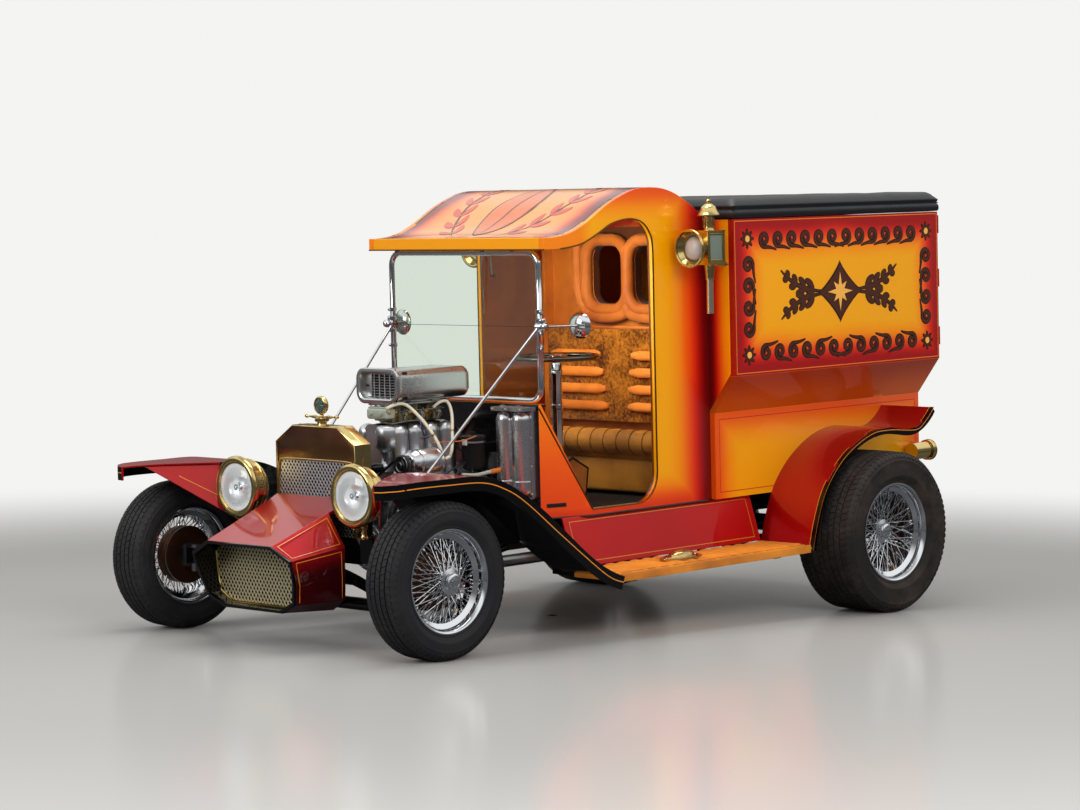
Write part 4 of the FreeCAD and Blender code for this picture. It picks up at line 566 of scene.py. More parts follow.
class Repeat(Nodes):
    """A Geometry Nodes tree that copies its own mesh by a rule, with named inputs."""

    def __init__(self, name, **kinds):
        super().__init__(bpy.data.node_groups.new(name, "GeometryNodeTree"))
        self.names = {}
        self.socket("Geometry", "Geometry", "OUTPUT")
        for key, kind in {"Geometry": "Geometry", **kinds, "Finish": "Material"}.items():
            self.names[key] = self.socket(key, kind, "INPUT").identifier
        self.entry = self.tree.nodes.new("NodeGroupInput")
        self.copies = self.tree.nodes.new("GeometryNodeDuplicateElements")
        self.copies.domain = "INSTANCE"
        one = self.node("GeometryNodeGeometryToInstance", {}, 0, self.given("Geometry"))
        self.plug(self.copies.inputs["Geometry"], one)

    def socket(self, name, kind, way):
        return self.tree.interface.new_socket(name, in_out=way, socket_type="NodeSocket" + kind)

    def given(self, name):
        return Value(self, self.entry.outputs[name])

    def duplicates(self, amount):
        """The copies of the mesh, and the number of each."""
        self.plug(self.copies.inputs["Amount"], amount)
        return Value(self, self.copies.outputs["Geometry"]), Value(self, self.copies.outputs["Duplicate Index"])

    def end(self, shape):
        """Turn the copies into real mesh in the chosen finish."""
        real = self.node("GeometryNodeRealizeInstances", {}, 0, shape)
        coated = self.node("GeometryNodeSetMaterial", {}, 0, real, Material=self.given("Finish"))
        self.plug(self.tree.nodes.new("NodeGroupOutput").inputs[0], coated)
        return self

    def made(self, work, finish, **values):
        """The copies of a bmesh as a bmesh."""
        mesh = bpy.data.meshes.new("seed")
        work.to_mesh(mesh)
        holder = bpy.data.objects.new("seed", mesh)
        scene.collection.objects.link(holder)
        step = holder.modifiers.new("repeat", "NODES")
        step.node_group = self.tree
        for name, value in {"Finish": finish.material, **values}.items():
            step[self.names[name]] = value
        seen = holder.evaluated_get(bpy.context.evaluated_depsgraph_get())
        result = bpy.data.meshes.new_from_object(seen)
        bpy.data.objects.remove(holder)
        work.clear()
        work.from_mesh(result)
        bpy.data.meshes.remove(result)
        return work


def ring_tree():
    """Copies turned about Z at equal steps."""
    tree = Repeat("ring of copies", Count="Int", Phase="Float")
    shape, index = tree.duplicates(tree.given("Count"))
    angle = index * (2 * math.pi) / tree.given("Count") + tree.given("Phase")
    turn = tree.node("ShaderNodeCombineXYZ", {}, 0, Z=angle)
    return tree.end(tree.node("GeometryNodeRotateInstances", {}, 0, shape, Rotation=turn, Local_Space=False))


def field_tree():
    """Copies in rows and columns."""
    tree = Repeat("field of copies", Columns="Int", Along="Vector")
    shape, column = tree.duplicates(tree.given("Columns"))
    step = tree.node("ShaderNodeVectorMath", {"operation": "SCALE"}, 0, tree.given("Along"), Scale=column)
    return tree.end(tree.node("GeometryNodeTranslateInstances", {}, 0, shape, Translation=step,
                              Local_Space=False))


RING = ring_tree()
ROW = field_tree()


def around(work, finish, count, phase=0.0):
    """Copies round Z."""
    return RING.made(work, finish, Count=count, Phase=phase)


def rows_of(work, finish, columns, along):
    """Copies in a row."""
    return ROW.made(work, finish, Columns=columns, Along=tuple(map(float, along)))


# Finishes

# The darkest stops also serve as painted shade in the groove and corner between cab and box.
SUNSET = ((0.0, "ffab00"), (0.3, "ff8f04"), (0.55, "f6600c"), (0.75, "e5300a"), (0.9, "b80d08"),
          (1.0, "6d0405"))


def lacquer(finish, colour, metal=0.15, coat=1.0):
    """Deep glossy lacquer: coloured metal flake under a clear coat, with a faint orange peel."""
    return finish.set(Base_Color=colour, Metallic=metal, Roughness=0.34, Coat_Weight=coat, Coat_Roughness=0.02,
                      Coat_IOR=1.5, Specular_IOR_Level=0.2,
                      Normal=finish.bump(finish.noise(190, 2), 0.0002, 0.12))


def make_cab_paint():
    """Amber in the middle of the side, red towards its edges, and hide inside the cab. Its rear edge is red
    from the paint's fade and deepens to maroon as painted shade in the groove against the box.
    """
    paint = Finish("cab_lacquer")
    x, y, z = paint.level()
    # Towards the rear edge the paint's red fade runs on into maroon, which is painted shade of the groove
    # against the box.
    rear = (x * -1).between(150, 425)
    sill = (z * -1).between(-640, -490) * 0.72
    crest = z.between(1650, 1812) * 0.62
    wing = x.between(240, 330) * (z * -1).between(-1100, -480, 0.35, 0.66)
    warmth_and_shade = rear.most(sill).most(crest).most(wing)
    outside = y.size().between(500, 506).most(x.between(280, 292))
    return lacquer(paint, paint.mix(outside, "6b3109", paint.ramp(warmth_and_shade, *SUNSET)))


def make_box_paint():
    """An amber panel that darkens to a red border, over a ledge painted dark as painted shade under the
    overhang, and an amber lower side.
    """
    paint = Finish("box_lacquer")
    x, y, z = paint.level()
    ends = (x - BOX_REAR).least(BOX_NOSE - x)
    edge = ends.least(z - UPPER_LOW).least(UPPER_TOP - z)
    panel = 0.93 - (edge + paint.noise(2.2, 1) * 70).between(62, 250) * 0.93
    lower = 0.6 - ends.least(LOWER_TOP - z).between(0, 170) * 0.6
    upper = z.between(1008, 1012)
    ledge = z.between(848, 852)
    colour = paint.ramp(panel * upper + lower * (1 - ledge), *SUNSET)
    # Painted shade on the ledge under the overhang, darker towards its top.
    overhang_shade = paint.mix(z.between(850, 1010), "c9560e", "9a3208")
    return lacquer(paint, paint.mix(ledge - upper, colour, overhang_shade))


def make_step_paint():
    """The box's front face: amber at its outer corner, and dark red towards the cab as painted shade in the
    corner against the cab.
    """
    paint = Finish("box_front_lacquer")
    x, y, z = paint.level()
    # Painted shade: the face turns dark red towards the cab, less so at its outer corner and higher up.
    warmth_and_shade = 1.0 - y.size().between(530, 640) * z.between(850, 1250, 0.72, 0.94)
    return lacquer(paint, paint.ramp(warmth_and_shade, *SUNSET))


def make_roof_paint():
    """Amber on the waved roof with a peach middle that is painted reflection of the pale surroundings, running
    to maroon at its sides.
    """
    paint = Finish("roof_lacquer")
    x, y, z = paint.level()
    side = (y.size() + paint.noise(7, 3) * 60 - 30).between(300, 505)
    crest = (x * -1).between(40, 330)
    front = x.between(528, 533)
    under = (z * -1).between(-1600, -1570) * x.between(300, 420)
    # The peach first stops are painted reflection of the pale surroundings on the roof's top.
    colour = paint.ramp((side * 0.95).most(crest * 0.8), (0.0, "f29a45"), (0.35, "ef8430"), (0.6, "d9541b"),
                        (0.8, "8e1f14"), (1.0, "3d0a10"))
    return lacquer(paint, paint.mix(front.most(under), colour, "ffa406"))


def make_red(name, colour, dark, low=None):
    """Candy red with slow depth from light to dark, and painted shade at the foot of a low piece."""
    paint = Finish(name)
    shade = paint.mix(paint.noise(1.6, 2), colour, dark)
    if low:
        # Painted shade: the low colour darkens the piece near its foot, standing for shade and the dark things
        # it reflects there.
        x, y, z = paint.level()
        shade = paint.mix((z * -1 - x * 0.09).between(-590, -500), shade, low)
    return lacquer(paint, shade, 0.5, 0.7)


def make_metal(name, colour, rough, smear=0.12, scratches=0.0, stretch=(1, 1, 1)):
    """Bright or brushed metal with uneven polish."""
    metal = Finish(name, colour, Metallic=1.0)
    cloud = metal.noise(5.0, 4)
    marks = metal.noise(24.0, 3, 0.6, stretch)
    return metal.set(Roughness=(cloud - 0.5) * smear + (marks - 0.5) * scratches + rough)


def make_brass():
    """Brass with brown stains, which are rougher."""
    metal = Finish("brass", Metallic=1.0)
    stain = metal.noise(9.0, 5, 0.6).between(0.42, 0.72)
    return metal.set(Base_Color=metal.mix(stain * 0.6, "dcc382", "8d7440"), Roughness=stain * 0.16 + 0.12)


def make_bronze():
    """The radiator's flat face: golden low down and dark brown higher up, a painted reflection of a dark
    surrounding, with stains.
    """
    metal = Finish("bronze_face", Metallic=1.0, Coat_Weight=0.4, Coat_Roughness=0.1)
    x, y, z = metal.level()
    stain = metal.noise(7.0, 5, 0.6)
    # Painted reflection: golden colours low down, dark brown ones higher up.
    low, high = metal.mix(stain, "8d5f3a", "b08948"), metal.mix(stain, "57301f", "784a38")
    return metal.set(Base_Color=metal.mix(z.between(700, 905), low, high), Roughness=stain * 0.2 + 0.2)


def make_rubber(name, colour, brown):
    """Dusty tyre rubber, browner on the old rear sidewalls."""
    rubber = Finish(name)
    dust = rubber.noise(16.0, 6, 0.7)
    patch = rubber.noise(3.5, 3).between(0.35, 0.7)
    return rubber.set(Base_Color=rubber.mix(patch * dust.between(0.3, 0.8), colour, brown),
                      Roughness=dust * 0.25 + 0.5, Specular_IOR_Level=0.35,
                      Normal=rubber.bump(rubber.noise(260, 3), 0.0004, 0.35))


def make_hide(name, light, dark, rough=0.42, grain=340.0):
    """Leather with pores, creases and rubbed patches."""
    hide = Finish(name)
    pores = hide.node("ShaderNodeTexVoronoi", {"feature": "DISTANCE_TO_EDGE"}, "Distance", Vector=hide.place(),
                      Scale=grain)
    creases = hide.noise(26, 6, 0.65)
    worn = hide.noise(4.5, 4)
    colour = hide.mix(worn.between(0.3, 0.75), light, dark)
    colour = hide.mix(creases.between(0.55, 0.8) * 0.25, colour, dark)
    height = pores.between(0.0, 0.25) * 0.6 + creases * 0.8
    return hide.set(Base_Color=colour, Roughness=worn * 0.2 + rough, Specular_IOR_Level=0.45, Sheen_Weight=0.08,
                    Normal=hide.bump(height, 0.0009, 0.5))


def make_velvet():
    """Crushed velvet in brown and gold."""
    velvet = Finish("crushed_velvet", Sheen_Weight=0.7, Sheen_Roughness=0.35, Specular_IOR_Level=0.15)
    crush = velvet.noise(70.0, 6, 0.7)
    nap = velvet.noise(9.0, 4)
    mark = (crush * 0.65 + nap * 0.35).between(0.38, 0.64)
    return velvet.set(Base_Color=velvet.mix(mark, "4a2004", "b8701a"), Roughness=0.85,
                      Normal=velvet.bump(velvet.noise(420, 3), 0.001, 0.7))


def make_satin(name, colour, rough, grain=0.0, scale=150.0, coat=0.0):
    """Plain painted or moulded surface with faint wear."""
    plain = Finish(name, Coat_Weight=coat, Coat_Roughness=0.08)
    patch = plain.noise(11.0, 4)
    plain.set(Base_Color=plain.mix(patch * 0.15, colour, "000000"), Roughness=patch * 0.16 + rough - 0.08)
    if grain:
        plain.set(Normal=plain.bump(plain.noise(scale, 4), grain, 0.5))
    return plain


def make_glass(name, colour, rough=0.0):
    glass = Finish(name, colour, Transmission_Weight=1.0, IOR=1.45)
    return glass.set(Roughness=glass.noise(12, 3) * 0.03 + rough)


CAB = make_cab_paint()
BOX = make_box_paint()
BOX_FRONT = make_step_paint()
ROOF = make_roof_paint()
RED = make_red("apron_red", "d80503", "b00204")
FENDER_RED = make_red("fender_red", "c20a0b", "980609")
# Its last colour is painted shade at the foot of the nose.
NOSE_RED = make_red("nose_red", "c00d16", "9a0a12", "4a030a")

CHROME = make_metal("chrome", "e2e5e9", 0.08, 0.05)
DARK_CHROME = make_metal("dark_chrome", "77756a", 0.16, 0.1)
BRIGHT = make_metal("polished_alloy", "dcdde0", 0.26, 0.16, 0.10)
CAST = make_metal("cast_alloy", "c6c7ca", 0.42, 0.20, 0.12)
DARK_CAST = make_metal("oiled_iron", "5b5854", 0.52, 0.20, 0.12)
STEEL = make_metal("plated_steel", "8f9194", 0.32, 0.16)
MAUVE_STEEL = make_metal("mauve_plated_steel", "8a8298", 0.34, 0.18)
STEEL_MESH = make_metal("pressed_mesh", "e4e4e6", 0.34, 0.12)
RUST = make_metal("brake_drum_iron", "6b4632", 0.5, 0.2, 0.2)
INTAKE_ALLOY = make_metal("intake_alloy", "d4d6da", 0.32, 0.2, 0.16)
SCOOP = make_metal("scoop_alloy", "d2d4d6", 0.28, 0.16, 0.10, (1, 6, 6))
SCOOP_PLATE = make_metal("scoop_plate", "d6d6d4", 0.34, 0.14)
CARB_ALLOY = make_metal("carburettor_alloy", "a8a287", 0.36, 0.2, 0.1)
GLOWING_REFLECTOR = make_metal("silvered_reflector", "f0f0f0", 0.3, 0.2)
# Painted light: the reflector glows faintly, though the headlamps are not lit.
GLOWING_REFLECTOR.set(Emission_Color=GLOWING_REFLECTOR.mix(GLOWING_REFLECTOR.noise(9.0), "f4f4f0", "a8aaaa"), Emission_Strength=0.25)
BRASS = make_brass()
BRONZE = make_bronze()
CREAM_BRASS = make_metal("pale_brass_mesh", "f4e6bc", 0.4, 0.12)
BRASS_DULL = make_metal("dull_brass", "b8985a", 0.34, 0.2)
DARK_GOLD = make_metal("dark_gold_trim", "7c5a22", 0.34, 0.15)
PALE_STEM = make_metal("pale_stem", "e9dfc8", 0.3, 0.14)

GOLD = make_satin("pinstripe_gold", "e08516", 0.3, coat=0.6)
BLACK = make_satin("black_enamel", "040405", 0.2, coat=0.7).set(Specular_IOR_Level=0.1)
SATIN = make_satin("satin_black", "121213", 0.5)
FIREWALL = make_satin("firewall_black", "0b0a0b", 0.16, coat=1.0)
CORE = make_satin("radiator_core_black", "0b0b0c", 0.6)
CONSOLE_EDGE = make_satin("console_edge", "100d0c", 0.3, coat=0.6)
PALE_ENAMEL = make_satin("pale_enamel", "d8dad6", 0.4)
GAUGE_BLUE = make_satin("gauge_face", "31464e", 0.35)
SAGE_ALLOY = make_satin("sage_grey_enamel", "aab0a0", 0.34, coat=0.5)
CREAM_HOSE = make_satin("cream_hose", "e6dcc4", 0.42)
ORANGE_WIRE = make_satin("orange_wire", "d8701c", 0.4)
RED_BROWN_LEAD = make_satin("dark_lead", "1c1516", 0.38)
OLIVE_PLASTIC = make_satin("olive_plastic", "4c5446", 0.3, coat=0.5)
BELT_RUBBER = make_satin("belt_rubber", "17171a", 0.55)
VINYL = make_satin("padded_vinyl", "15161a", 0.42, 0.0012, 330.0)
CARPET = make_satin("floor_mat", "1a1512", 0.9, 0.004, 240.0)
DARK_THREAD = make_satin("dark_thread", "4a2c0c", 0.7)
ART_LINE = make_satin("ornament_outline", "160705", 0.3, coat=0.8)
ART_BROWN = make_satin("ornament_brown", "4c1f08", 0.3, coat=0.8)
ART_LIGHT = make_satin("ornament_lights", "ffb648", 0.3, coat=0.8)
ART_ORANGE = make_satin("edge_line_orange", "f5801c", 0.3, coat=0.8)
ART_RED = make_satin("lower_line_red", "c81406", 0.3, coat=0.8)
ROOF_LEAF = make_satin("roof_leaf", "de6c1c", 0.3, coat=0.8)
ROOF_RED = make_satin("roof_leaf_red", "d4452a", 0.3, coat=0.8)
ROOF_DARK = make_satin("roof_branch", "4c1516", 0.3, coat=0.8)
LANTERN_PANE = make_satin("lantern_pane", "717c70", 0.16, coat=1.0)
LANTERN_DOME = make_satin("lantern_dome", "b9aaa4", 0.22, coat=1.0)

FRONT_RUBBER = make_rubber("front_rubber", "1d1d20", "302e2d")
REAR_RUBBER = make_rubber("rear_rubber", "1e1b1a", "40352d")
HIDE = make_hide("cab_hide", "cf7420", "a04e10", 0.34)
# Dark hide for the bulkhead's window recesses: painted shade in the recesses.
RECESS_SHADE_HIDE = make_hide("recess_hide", "5c2c0e", "3c1a07")
SEAT_HIDE = make_hide("seat_hide", "b8761a", "84500c", 0.34)
ORANGE_HIDE = make_hide("orange_hide", "f08c2c", "c46414", 0.36)
CONSOLE_WOOD = make_hide("console_hide", "a05a1e", "5e300e", 0.36, 240.0)
BOARD_HIDE = make_hide("board_hide", "fa9a14", "cf7408")
BOARD_EDGE = make_hide("board_edge_hide", "e58a18", "b0640c", 0.4)
VELVET = make_velvet()
PANE = make_glass("pane_glass", "e2eee2")
LENS = make_glass("lens_glass", "f4f6f8", 0.02)
RUBY = make_glass("ruby_glass", "a0060a", 0.05)


# Wheels and tyres

WHEELS = {
    "front": {"radius": 301.5, "half": 88, "rim": 199, "rim_half": 76, "track": 765, "x": 1447,
              "rubber": FRONT_RUBBER, "hub_out": 110, "face": 78, "ribs": 5, "blocks": 66, "dish": 26,
              "drum": [(52, -34), (112, -34), (117, -30), (117, 6), (112, 10), (60, 12), (52, 16), (50, 22),
                       (0, 22)]},
    "rear": {"radius": 347.5, "half": 152, "rim": 212, "rim_half": 131, "track": 813.5, "x": -1105,
             "rubber": REAR_RUBBER, "hub_out": 89, "face": 57, "ribs": 8, "blocks": 78, "dish": 40,
             "drum": [(60, -98), (128, -98), (134, -93), (134, -46), (128, -42), (62, -40), (50, -30),
                      (0, -30)]}}


def both_ends(side):
    """A profile and its mirror image along the axle."""
    return side + [(r, -z) for r, z in reversed(side)]


def tyre_carcass(size):
    """Bead, ridged sidewalls, shoulders and the floor of the grooves."""
    radius, half, rim = size["radius"], size["half"], size["rim"]
    bead = size["rim_half"] - 6
    groove = radius - 8
    return lathe(both_ends([
        (rim - 12, bead - 6), (rim - 10, bead + 0.5), (rim + 4, bead + 3), (rim + 7, bead + 5.5),
                            (rim + 11, bead + 5),
        (rim + 14, bead + 8), (rim + 30, half - 3), (rim + 33, half - 1.2), (rim + 36, half - 1.6),
        ((radius + rim) / 2 + 6, half), (radius - 40, half - 1.5), (radius - 37, half - 0.4),
        (radius - 34, half - 2.2), (radius - 24, half - 6), (radius - 15, half - 12), (groove, half - 22),
        (groove + 1.5, half - 40)]), 120)


def tread(size):
    """Ribs of separate blocks between straight grooves, with notched shoulders."""
    radius, half, ribs, blocks = size["radius"], size["half"], size["ribs"], size["blocks"]
    reach = half - 22
    pitch = 2 * reach / ribs
    step = 2 * math.pi / blocks
    long = radius * step
    whole = []
    for rib in range(ribs):
        middle = -reach + pitch * (rib + 0.5)
        outer = abs(middle) > reach - pitch
        top, base = radius - 3.4 * (abs(middle) / reach) ** 3, radius - 11
        lean = 3.0 * (1 if rib % 2 else -1)
        gap = 2.6 if outer else 1.9
        ring = []
        for height, ease in ((base, 0.0), (top - 1.2, 0.0), (top, 1.1)):
            w, l = (pitch - 5.5) / 2 - ease, (long - gap) / 2 - ease
            ring.append([(height, -l + lean, middle - w), (height, l + lean, middle - w),
                         (height, l - lean, middle + w), (height, -l - lean, middle + w)])
        block = skin(ring)
        block.faces.new([v for v in block.verts if abs(v.co.x - top) < 1e-4])
        whole.append(around(facing_out(block), size["rubber"], blocks, step * (0.5 if rib % 2 else 0.0)))
    for side in (1, -1):
        lug = skin([[(radius - foot, -l, side * (half - 25 + near)),
                     (radius - foot, l, side * (half - 25 + near)),
                     (radius - shoulder, l, side * (half - out)), (radius - shoulder, -l, side * (half - out))]
                    for foot, shoulder, l, near, out in ((14, 26, long * 0.3, 0, 3),
                                                         (4, 22, long * 0.27, 1, 3.2))],
                   capped=True)
        whole.append(around(lug, size["rubber"], blocks, step * 0.25))
    return merged(*whole)


def rim_band(size):
    """A drop-centre rim with rolled lips."""
    rim, half = size["rim"], size["rim_half"]
    seat, well = rim - 14, rim - 36
    lip = [(rim - 1, half - 7), (rim + 1.5, half - 3), (rim, half), (rim - 4, half + 0.8),
           (rim - 8, half - 1.5),
           (rim - 12, half - 7), (seat - 4, half - 16), (seat - 5, half - 30), (well - 2, half - 42),
           (well - 3, half - 50)]
    outer = [(seat + 1, -half + 9), (seat + 1, -half + 30), (well + 1, -half + 44)]
    return lathe(both_ends(lip) + both_ends(outer) + [(rim - 1, half - 7)], 96)


def lacing(size):
    """Two rows of crossed spokes with nipples, from the hub's flanges to the well of the rim, and a
    third from the hub's inner flange."""
    rim_radius = size["rim"] - 39
    face, dish = size["face"], size["dish"]
    rows = []
    for hub_plane, rim_plane, hub_radius, lean, count, phase in (
            (face, size["rim_half"] - 50, 44, 42, 18, 0.0), (face - 12, dish - 12, 46, 30, 18, math.pi / 18),
            (face - 92, dish - 34, 46, 48, 10, 0.0)):
        pair = []
        for hand in (1, -1):
            swing = math.radians(lean) * hand
            base = math.radians(2.2) * hand
            foot = Vector((hub_radius * math.cos(swing), hub_radius * math.sin(swing), hub_plane))
            head = Vector((rim_radius * math.cos(base), rim_radius * math.sin(base), rim_plane))
            run = (head - foot).normalized()
            pair.append(pipe([foot - run * 4, head], 2.1, 6))
            pair.append(turned([(0, -12), (3.2, -11), (3.9, -2), (4.2, 2), (0, 2.5)], 8, head, run))
        rows.append(around(merged(*pair), CHROME, count, phase))
    return merged(*rows)


def hub(size):
    """A barrel with two flanges, a stepped cone and a flat-sided cap."""
    out, face = size["hub_out"], size["face"]
    barrel = [(15.5, -128), (52, -126), (54, -120), (42, -112), (38, -96), (50, -92), (50, -86), (38, -82),
              (36, -20),
              (50, -15), (51, -10), (40, -5), (50, -2), (51, 3), (40, 7), (34, 9), (33, 13), (36, 15), (36, 18),
              (30, 20), (0, 20)]
    nut = [(0, -16), (31, -15), (33, -12), (33, -6), (29, -3), (22, -2.4), (20, -4.5), (0, -4)]
    crown = [(19, -4), (18, -1.5), (14, -0.4), (0, 0)]
    return merged(*(lathe([(r, plane + z) for r, z in profile], steps)
                    for profile, plane, steps in ((barrel, face, 40), (nut, out, 8), (crown, out, 32))))


def make_wheels():
    for end, size in WHEELS.items():
        for hand, side in SIDES:
            body = f"{end}_{hand}_wheel"
            centre = (size["x"], side * size["track"], size["radius"])
            place = MM @ aimed(centre, (0, side, 0), FORWARD)
            piece(f"tyre_{end}_{hand}_tread", [tyre_carcass(size), tread(size)], size["rubber"], place, body,
                  40,
                  (f"tyre_{end}_{hand}",))
            piece(f"wire_wheel_{end}_{hand}", [rim_band(size), lacing(size), hub(size)], CHROME, place, body,
                  40,
                  (f"wheel_{end}_{hand}",))
            piece(f"brake_drum_{end}_{hand}", lathe(size["drum"], 64), RUST, place, body)
            if end == "front":
                plate = [(50, -54), (56, -56), (104, -56), (110, -54.5), (116, -54.5), (117, -53)]
                piece(f"backing_plate_{hand}", lathe(plate, 64), RUST, place, node_body(f"knuckle_{hand}"))


make_wheels()


# Shared outlines

FRONT_FENDER = [(451, 275), (547, 315), (768, 476), (981, 638), (1100, 703), (1221, 737), (1400, 743),
                (1560, 744),
                (1650, 741), (1705, 736)]
REAR_FENDER = [(-1560, 812), (-1500, 758), (-1437, 730), (-1262, 742), (-1124, 730), (-951, 650), (-820, 524),
               (-752, 385), (-716, 262)]
MOUTH = [(194, 478), (295, 426), (287, 330), (258, 250), (175, 212)]
GRILLE = [(204, 515), (299, 440), (292, 330), (275, 250), (198, 210)]
NOSE_REAR = [(209, 584), (300, 456), (300, 330), (296, 250), (225, 205)]


def pulled_in(corners, distance):
    """A flat polygon in space with its sides moved inwards."""
    points = [Vector(corner) for corner in corners]
    ring = []
    for index, point in enumerate(points):
        back = (points[index - 1] - point).normalized()
        ahead = (points[(index + 1) % len(points)] - point).normalized()
        sine = back.cross(ahead).length
        ring.append(point + (back + ahead) * (distance / max(sine, 0.15)))
    return ring


def pin_frame(corners, inset, width=3.0, lift=0.5):
    """A painted line that runs round a flat panel, inside its edges."""
    points = [Vector(corner) for corner in corners]
    normal = (points[1] - points[0]).cross(points[2] - points[1]).normalized()
    return skin([[point + normal * lift for point in pulled_in(points, far)] for far in (inset, inset + width)])


def trimmed(work, planes):
    """What lies behind every one of some planes, each a point and an outward direction."""
    for point, way in planes:
        bmesh.ops.bisect_plane(work, geom=work.verts[:] + work.edges[:] + work.faces[:], plane_co=Vector(point),
                               plane_no=Vector(way), clear_outer=True)
    return work


def lattice(finish, half_wide, half_high, pitch, width, thick, lean):
    """Two layers of flat bars that cross at a slant, in the XY plane round the origin."""
    reach = math.hypot(half_wide, half_high) + pitch
    count = int(2 * reach / pitch) + 1
    layers = []
    for base, hand in ((0, 1), (thick * 0.55, -1)):
        strip = slab((-reach, -width / 2, base), (reach, width / 2, thick + base), thick * 0.3, 1)
        moved(strip, at(0, -count * pitch / 2, 0))
        field = rows_of(strip, finish, count, (0, pitch, 0))
        layers.append(moved(field, Matrix.Rotation(math.radians(lean) * hand, 4, "Z")))
    return merged(*layers)


def facing_front(x, y, z):
    """A place whose Z points forwards, X to the left and Y up."""
    return at(x, y, z) @ Matrix(((0, 0, 1), (1, 0, 0), (0, 1, 0))).to_4x4()


# Radiator

def shell_outline(inset, low=470):
    """The shell's outline seen from ahead, moved inwards."""
    slope = math.hypot(103, 68)
    shift = inset * (slope - 68) / 103
    lift = inset * (slope - 103) / 68
    return [(238 - inset, low), (238 - inset, 837 - shift), (135 - lift, 905 - inset),
            (-135 + lift, 905 - inset),
            (-238 + inset, 837 - shift), (-238 + inset, low)]


def make_radiator():
    band = skin([[(x, y, z) for y, z in shell_outline(inset)] for x, inset in (
        (1238, 12), (1238, 2), (1240, 0), (1316, 0), (1320, 0.7), (1322.6, 2.5), (1323.2, 4.5), (1321, 6.5),
        (1312, 7))], closed=False)
    face = shell_outline(6)
    plate = cast([*face[1:5], (-232, 768), (232, 768)], 1312, 1319, "YZ", 1.0, 2)
    arch = [(-226, 470), (-226, 700), (-219, 752), (-190, 768), (0, 770), (190, 768), (219, 752), (226, 700),
            (226, 470)]
    trim = [pipe(smooth_path([(1318, y, z) for y, z in arch], 6), 4.5, 10)]
    for side in (1, -1):
        trim.append(skin([[(1316, side * 226, 700), (1316, side * 226, 770), (1316, side * 170, 770)],
                          [(1316, side * 218, 700), (1316, side * 210, 757), (1316, side * 170, 766)]],
                         closed=False))
    piece("radiator_band", [band, *trim], BRASS, stands_for=("radiator_shell",), sharp=40)
    piece("radiator_face", plate, BRONZE)
    mesh = lattice(STEEL_MESH, 216, 150, 15.4, 6.2, 1.8, 52)
    moved(mesh, facing_front(1313, 0, 620))
    trimmed(mesh, [((0, 224, 0), (0, 1, 0)), ((0, -224, 0), (0, -1, 0)), ((0, 0, 768), (0, 0, 1)),
                   ((0, 0, 472), (0, 0, -1))])
    piece("radiator_mesh", mesh, STEEL_MESH)
    core = slab((1250, -222, 470), (1290, 222, 770), 2, 1)
    tubes = rows_of(slab((1290, -221, 470), (1296, -218, 770), 0.5, 1), CORE, 37, (0, 12, 0))
    tank = cast([(-215, 772), (215, 772), (215, 826), (120, 884), (-120, 884), (-215, 826)], 1246, 1292, "YZ",
                6)
    piece("radiator_core_fins", [core, tubes, tank], CORE, stands_for=("radiator_core",))
    seam = pipe([(1281, y, z) for y, z in shell_outline(-0.6, 472)], 1.6, 6)
    piece("radiator_seam", seam, BRASS)


def make_cap():
    """A filler cap with two wings and a round gauge that stands on it."""
    neck = lathe([(0, -6), (21, -6), (21, 0), (19, 3), (19, 12), (24, 14), (27, 17), (27, 28), (24, 31),
                  (16, 33),
                  (9, 35), (7, 40), (7, 46), (0, 47)], 40)
    ribs = around(slab((25.5, -1.6, 16), (28.6, 1.6, 29), 0.6, 1), BRASS, 22)
    wings = [turned([(0, 0), (4, 0), (3, 14), (4, 22), (6.5, 34), (7, 46), (5, 60), (3, 70), (3, 76),
                     (5.5, 79), (7.5, 85),
                     (7.5, 91), (5, 97), (0, 99)], 20, (0, 0, 31), (0, side, 0.03)) for side in (1, -1)]
    rim = turned([(0, -9), (30, -9), (34, -7), (36.5, -2), (37, 3), (36, 8), (34, 11), (31, 12), (29.5, 9),
                  (29, 5), (0, 5)],
                 48, (0, 0, 79), (1, 0, 0))
    brass = merged(neck, ribs, rim, *wings)
    piece("cap_with_wings", moved(brass, at(1280, 0, 905)), BRASS, sharp=40)
    dial = lathe([(0, 5.5), (29, 5.5)], 40)
    marks = around(slab((21, -0.7, 6), (26, 0.7, 6.8), 0.2, 1), PALE_ENAMEL, 12)
    needle = slab((-1, -1, 6.2), (17, 1, 7.2), 0.3, 1)
    turn = aimed((1280, 0, 984), (1, 0, 0))
    piece("gauge_dial", moved(dial, turn), GAUGE_BLUE)
    piece("gauge_marks", moved(merged(marks, needle), turn), PALE_ENAMEL)
    glass = lathe([(0, 12.5), (12, 12), (22, 10.8), (29.5, 8.6), (29.5, 7.6), (22, 9.8), (12, 11), (0, 11.4)],
                  40)
    piece("gauge_glass", moved(glass, turn), PANE)


# Nose

def nose_ring(x_top, x_low, points, inset=0.0):
    """A ring on the nose's leaning face, from its left half's corners."""
    low = min(z for y, z in points)
    top = max(z for y, z in points)
    middle = (low + top) / 2
    ring = []
    for y, z in points + [(-y, z) for y, z in reversed(points)]:
        small_y = y - math.copysign(inset, y)
        small_z = z - inset if z > middle else z + inset
        ring.append((x_low + (x_top - x_low) * (small_z - low) / (top - low), small_y, small_z))
    return ring


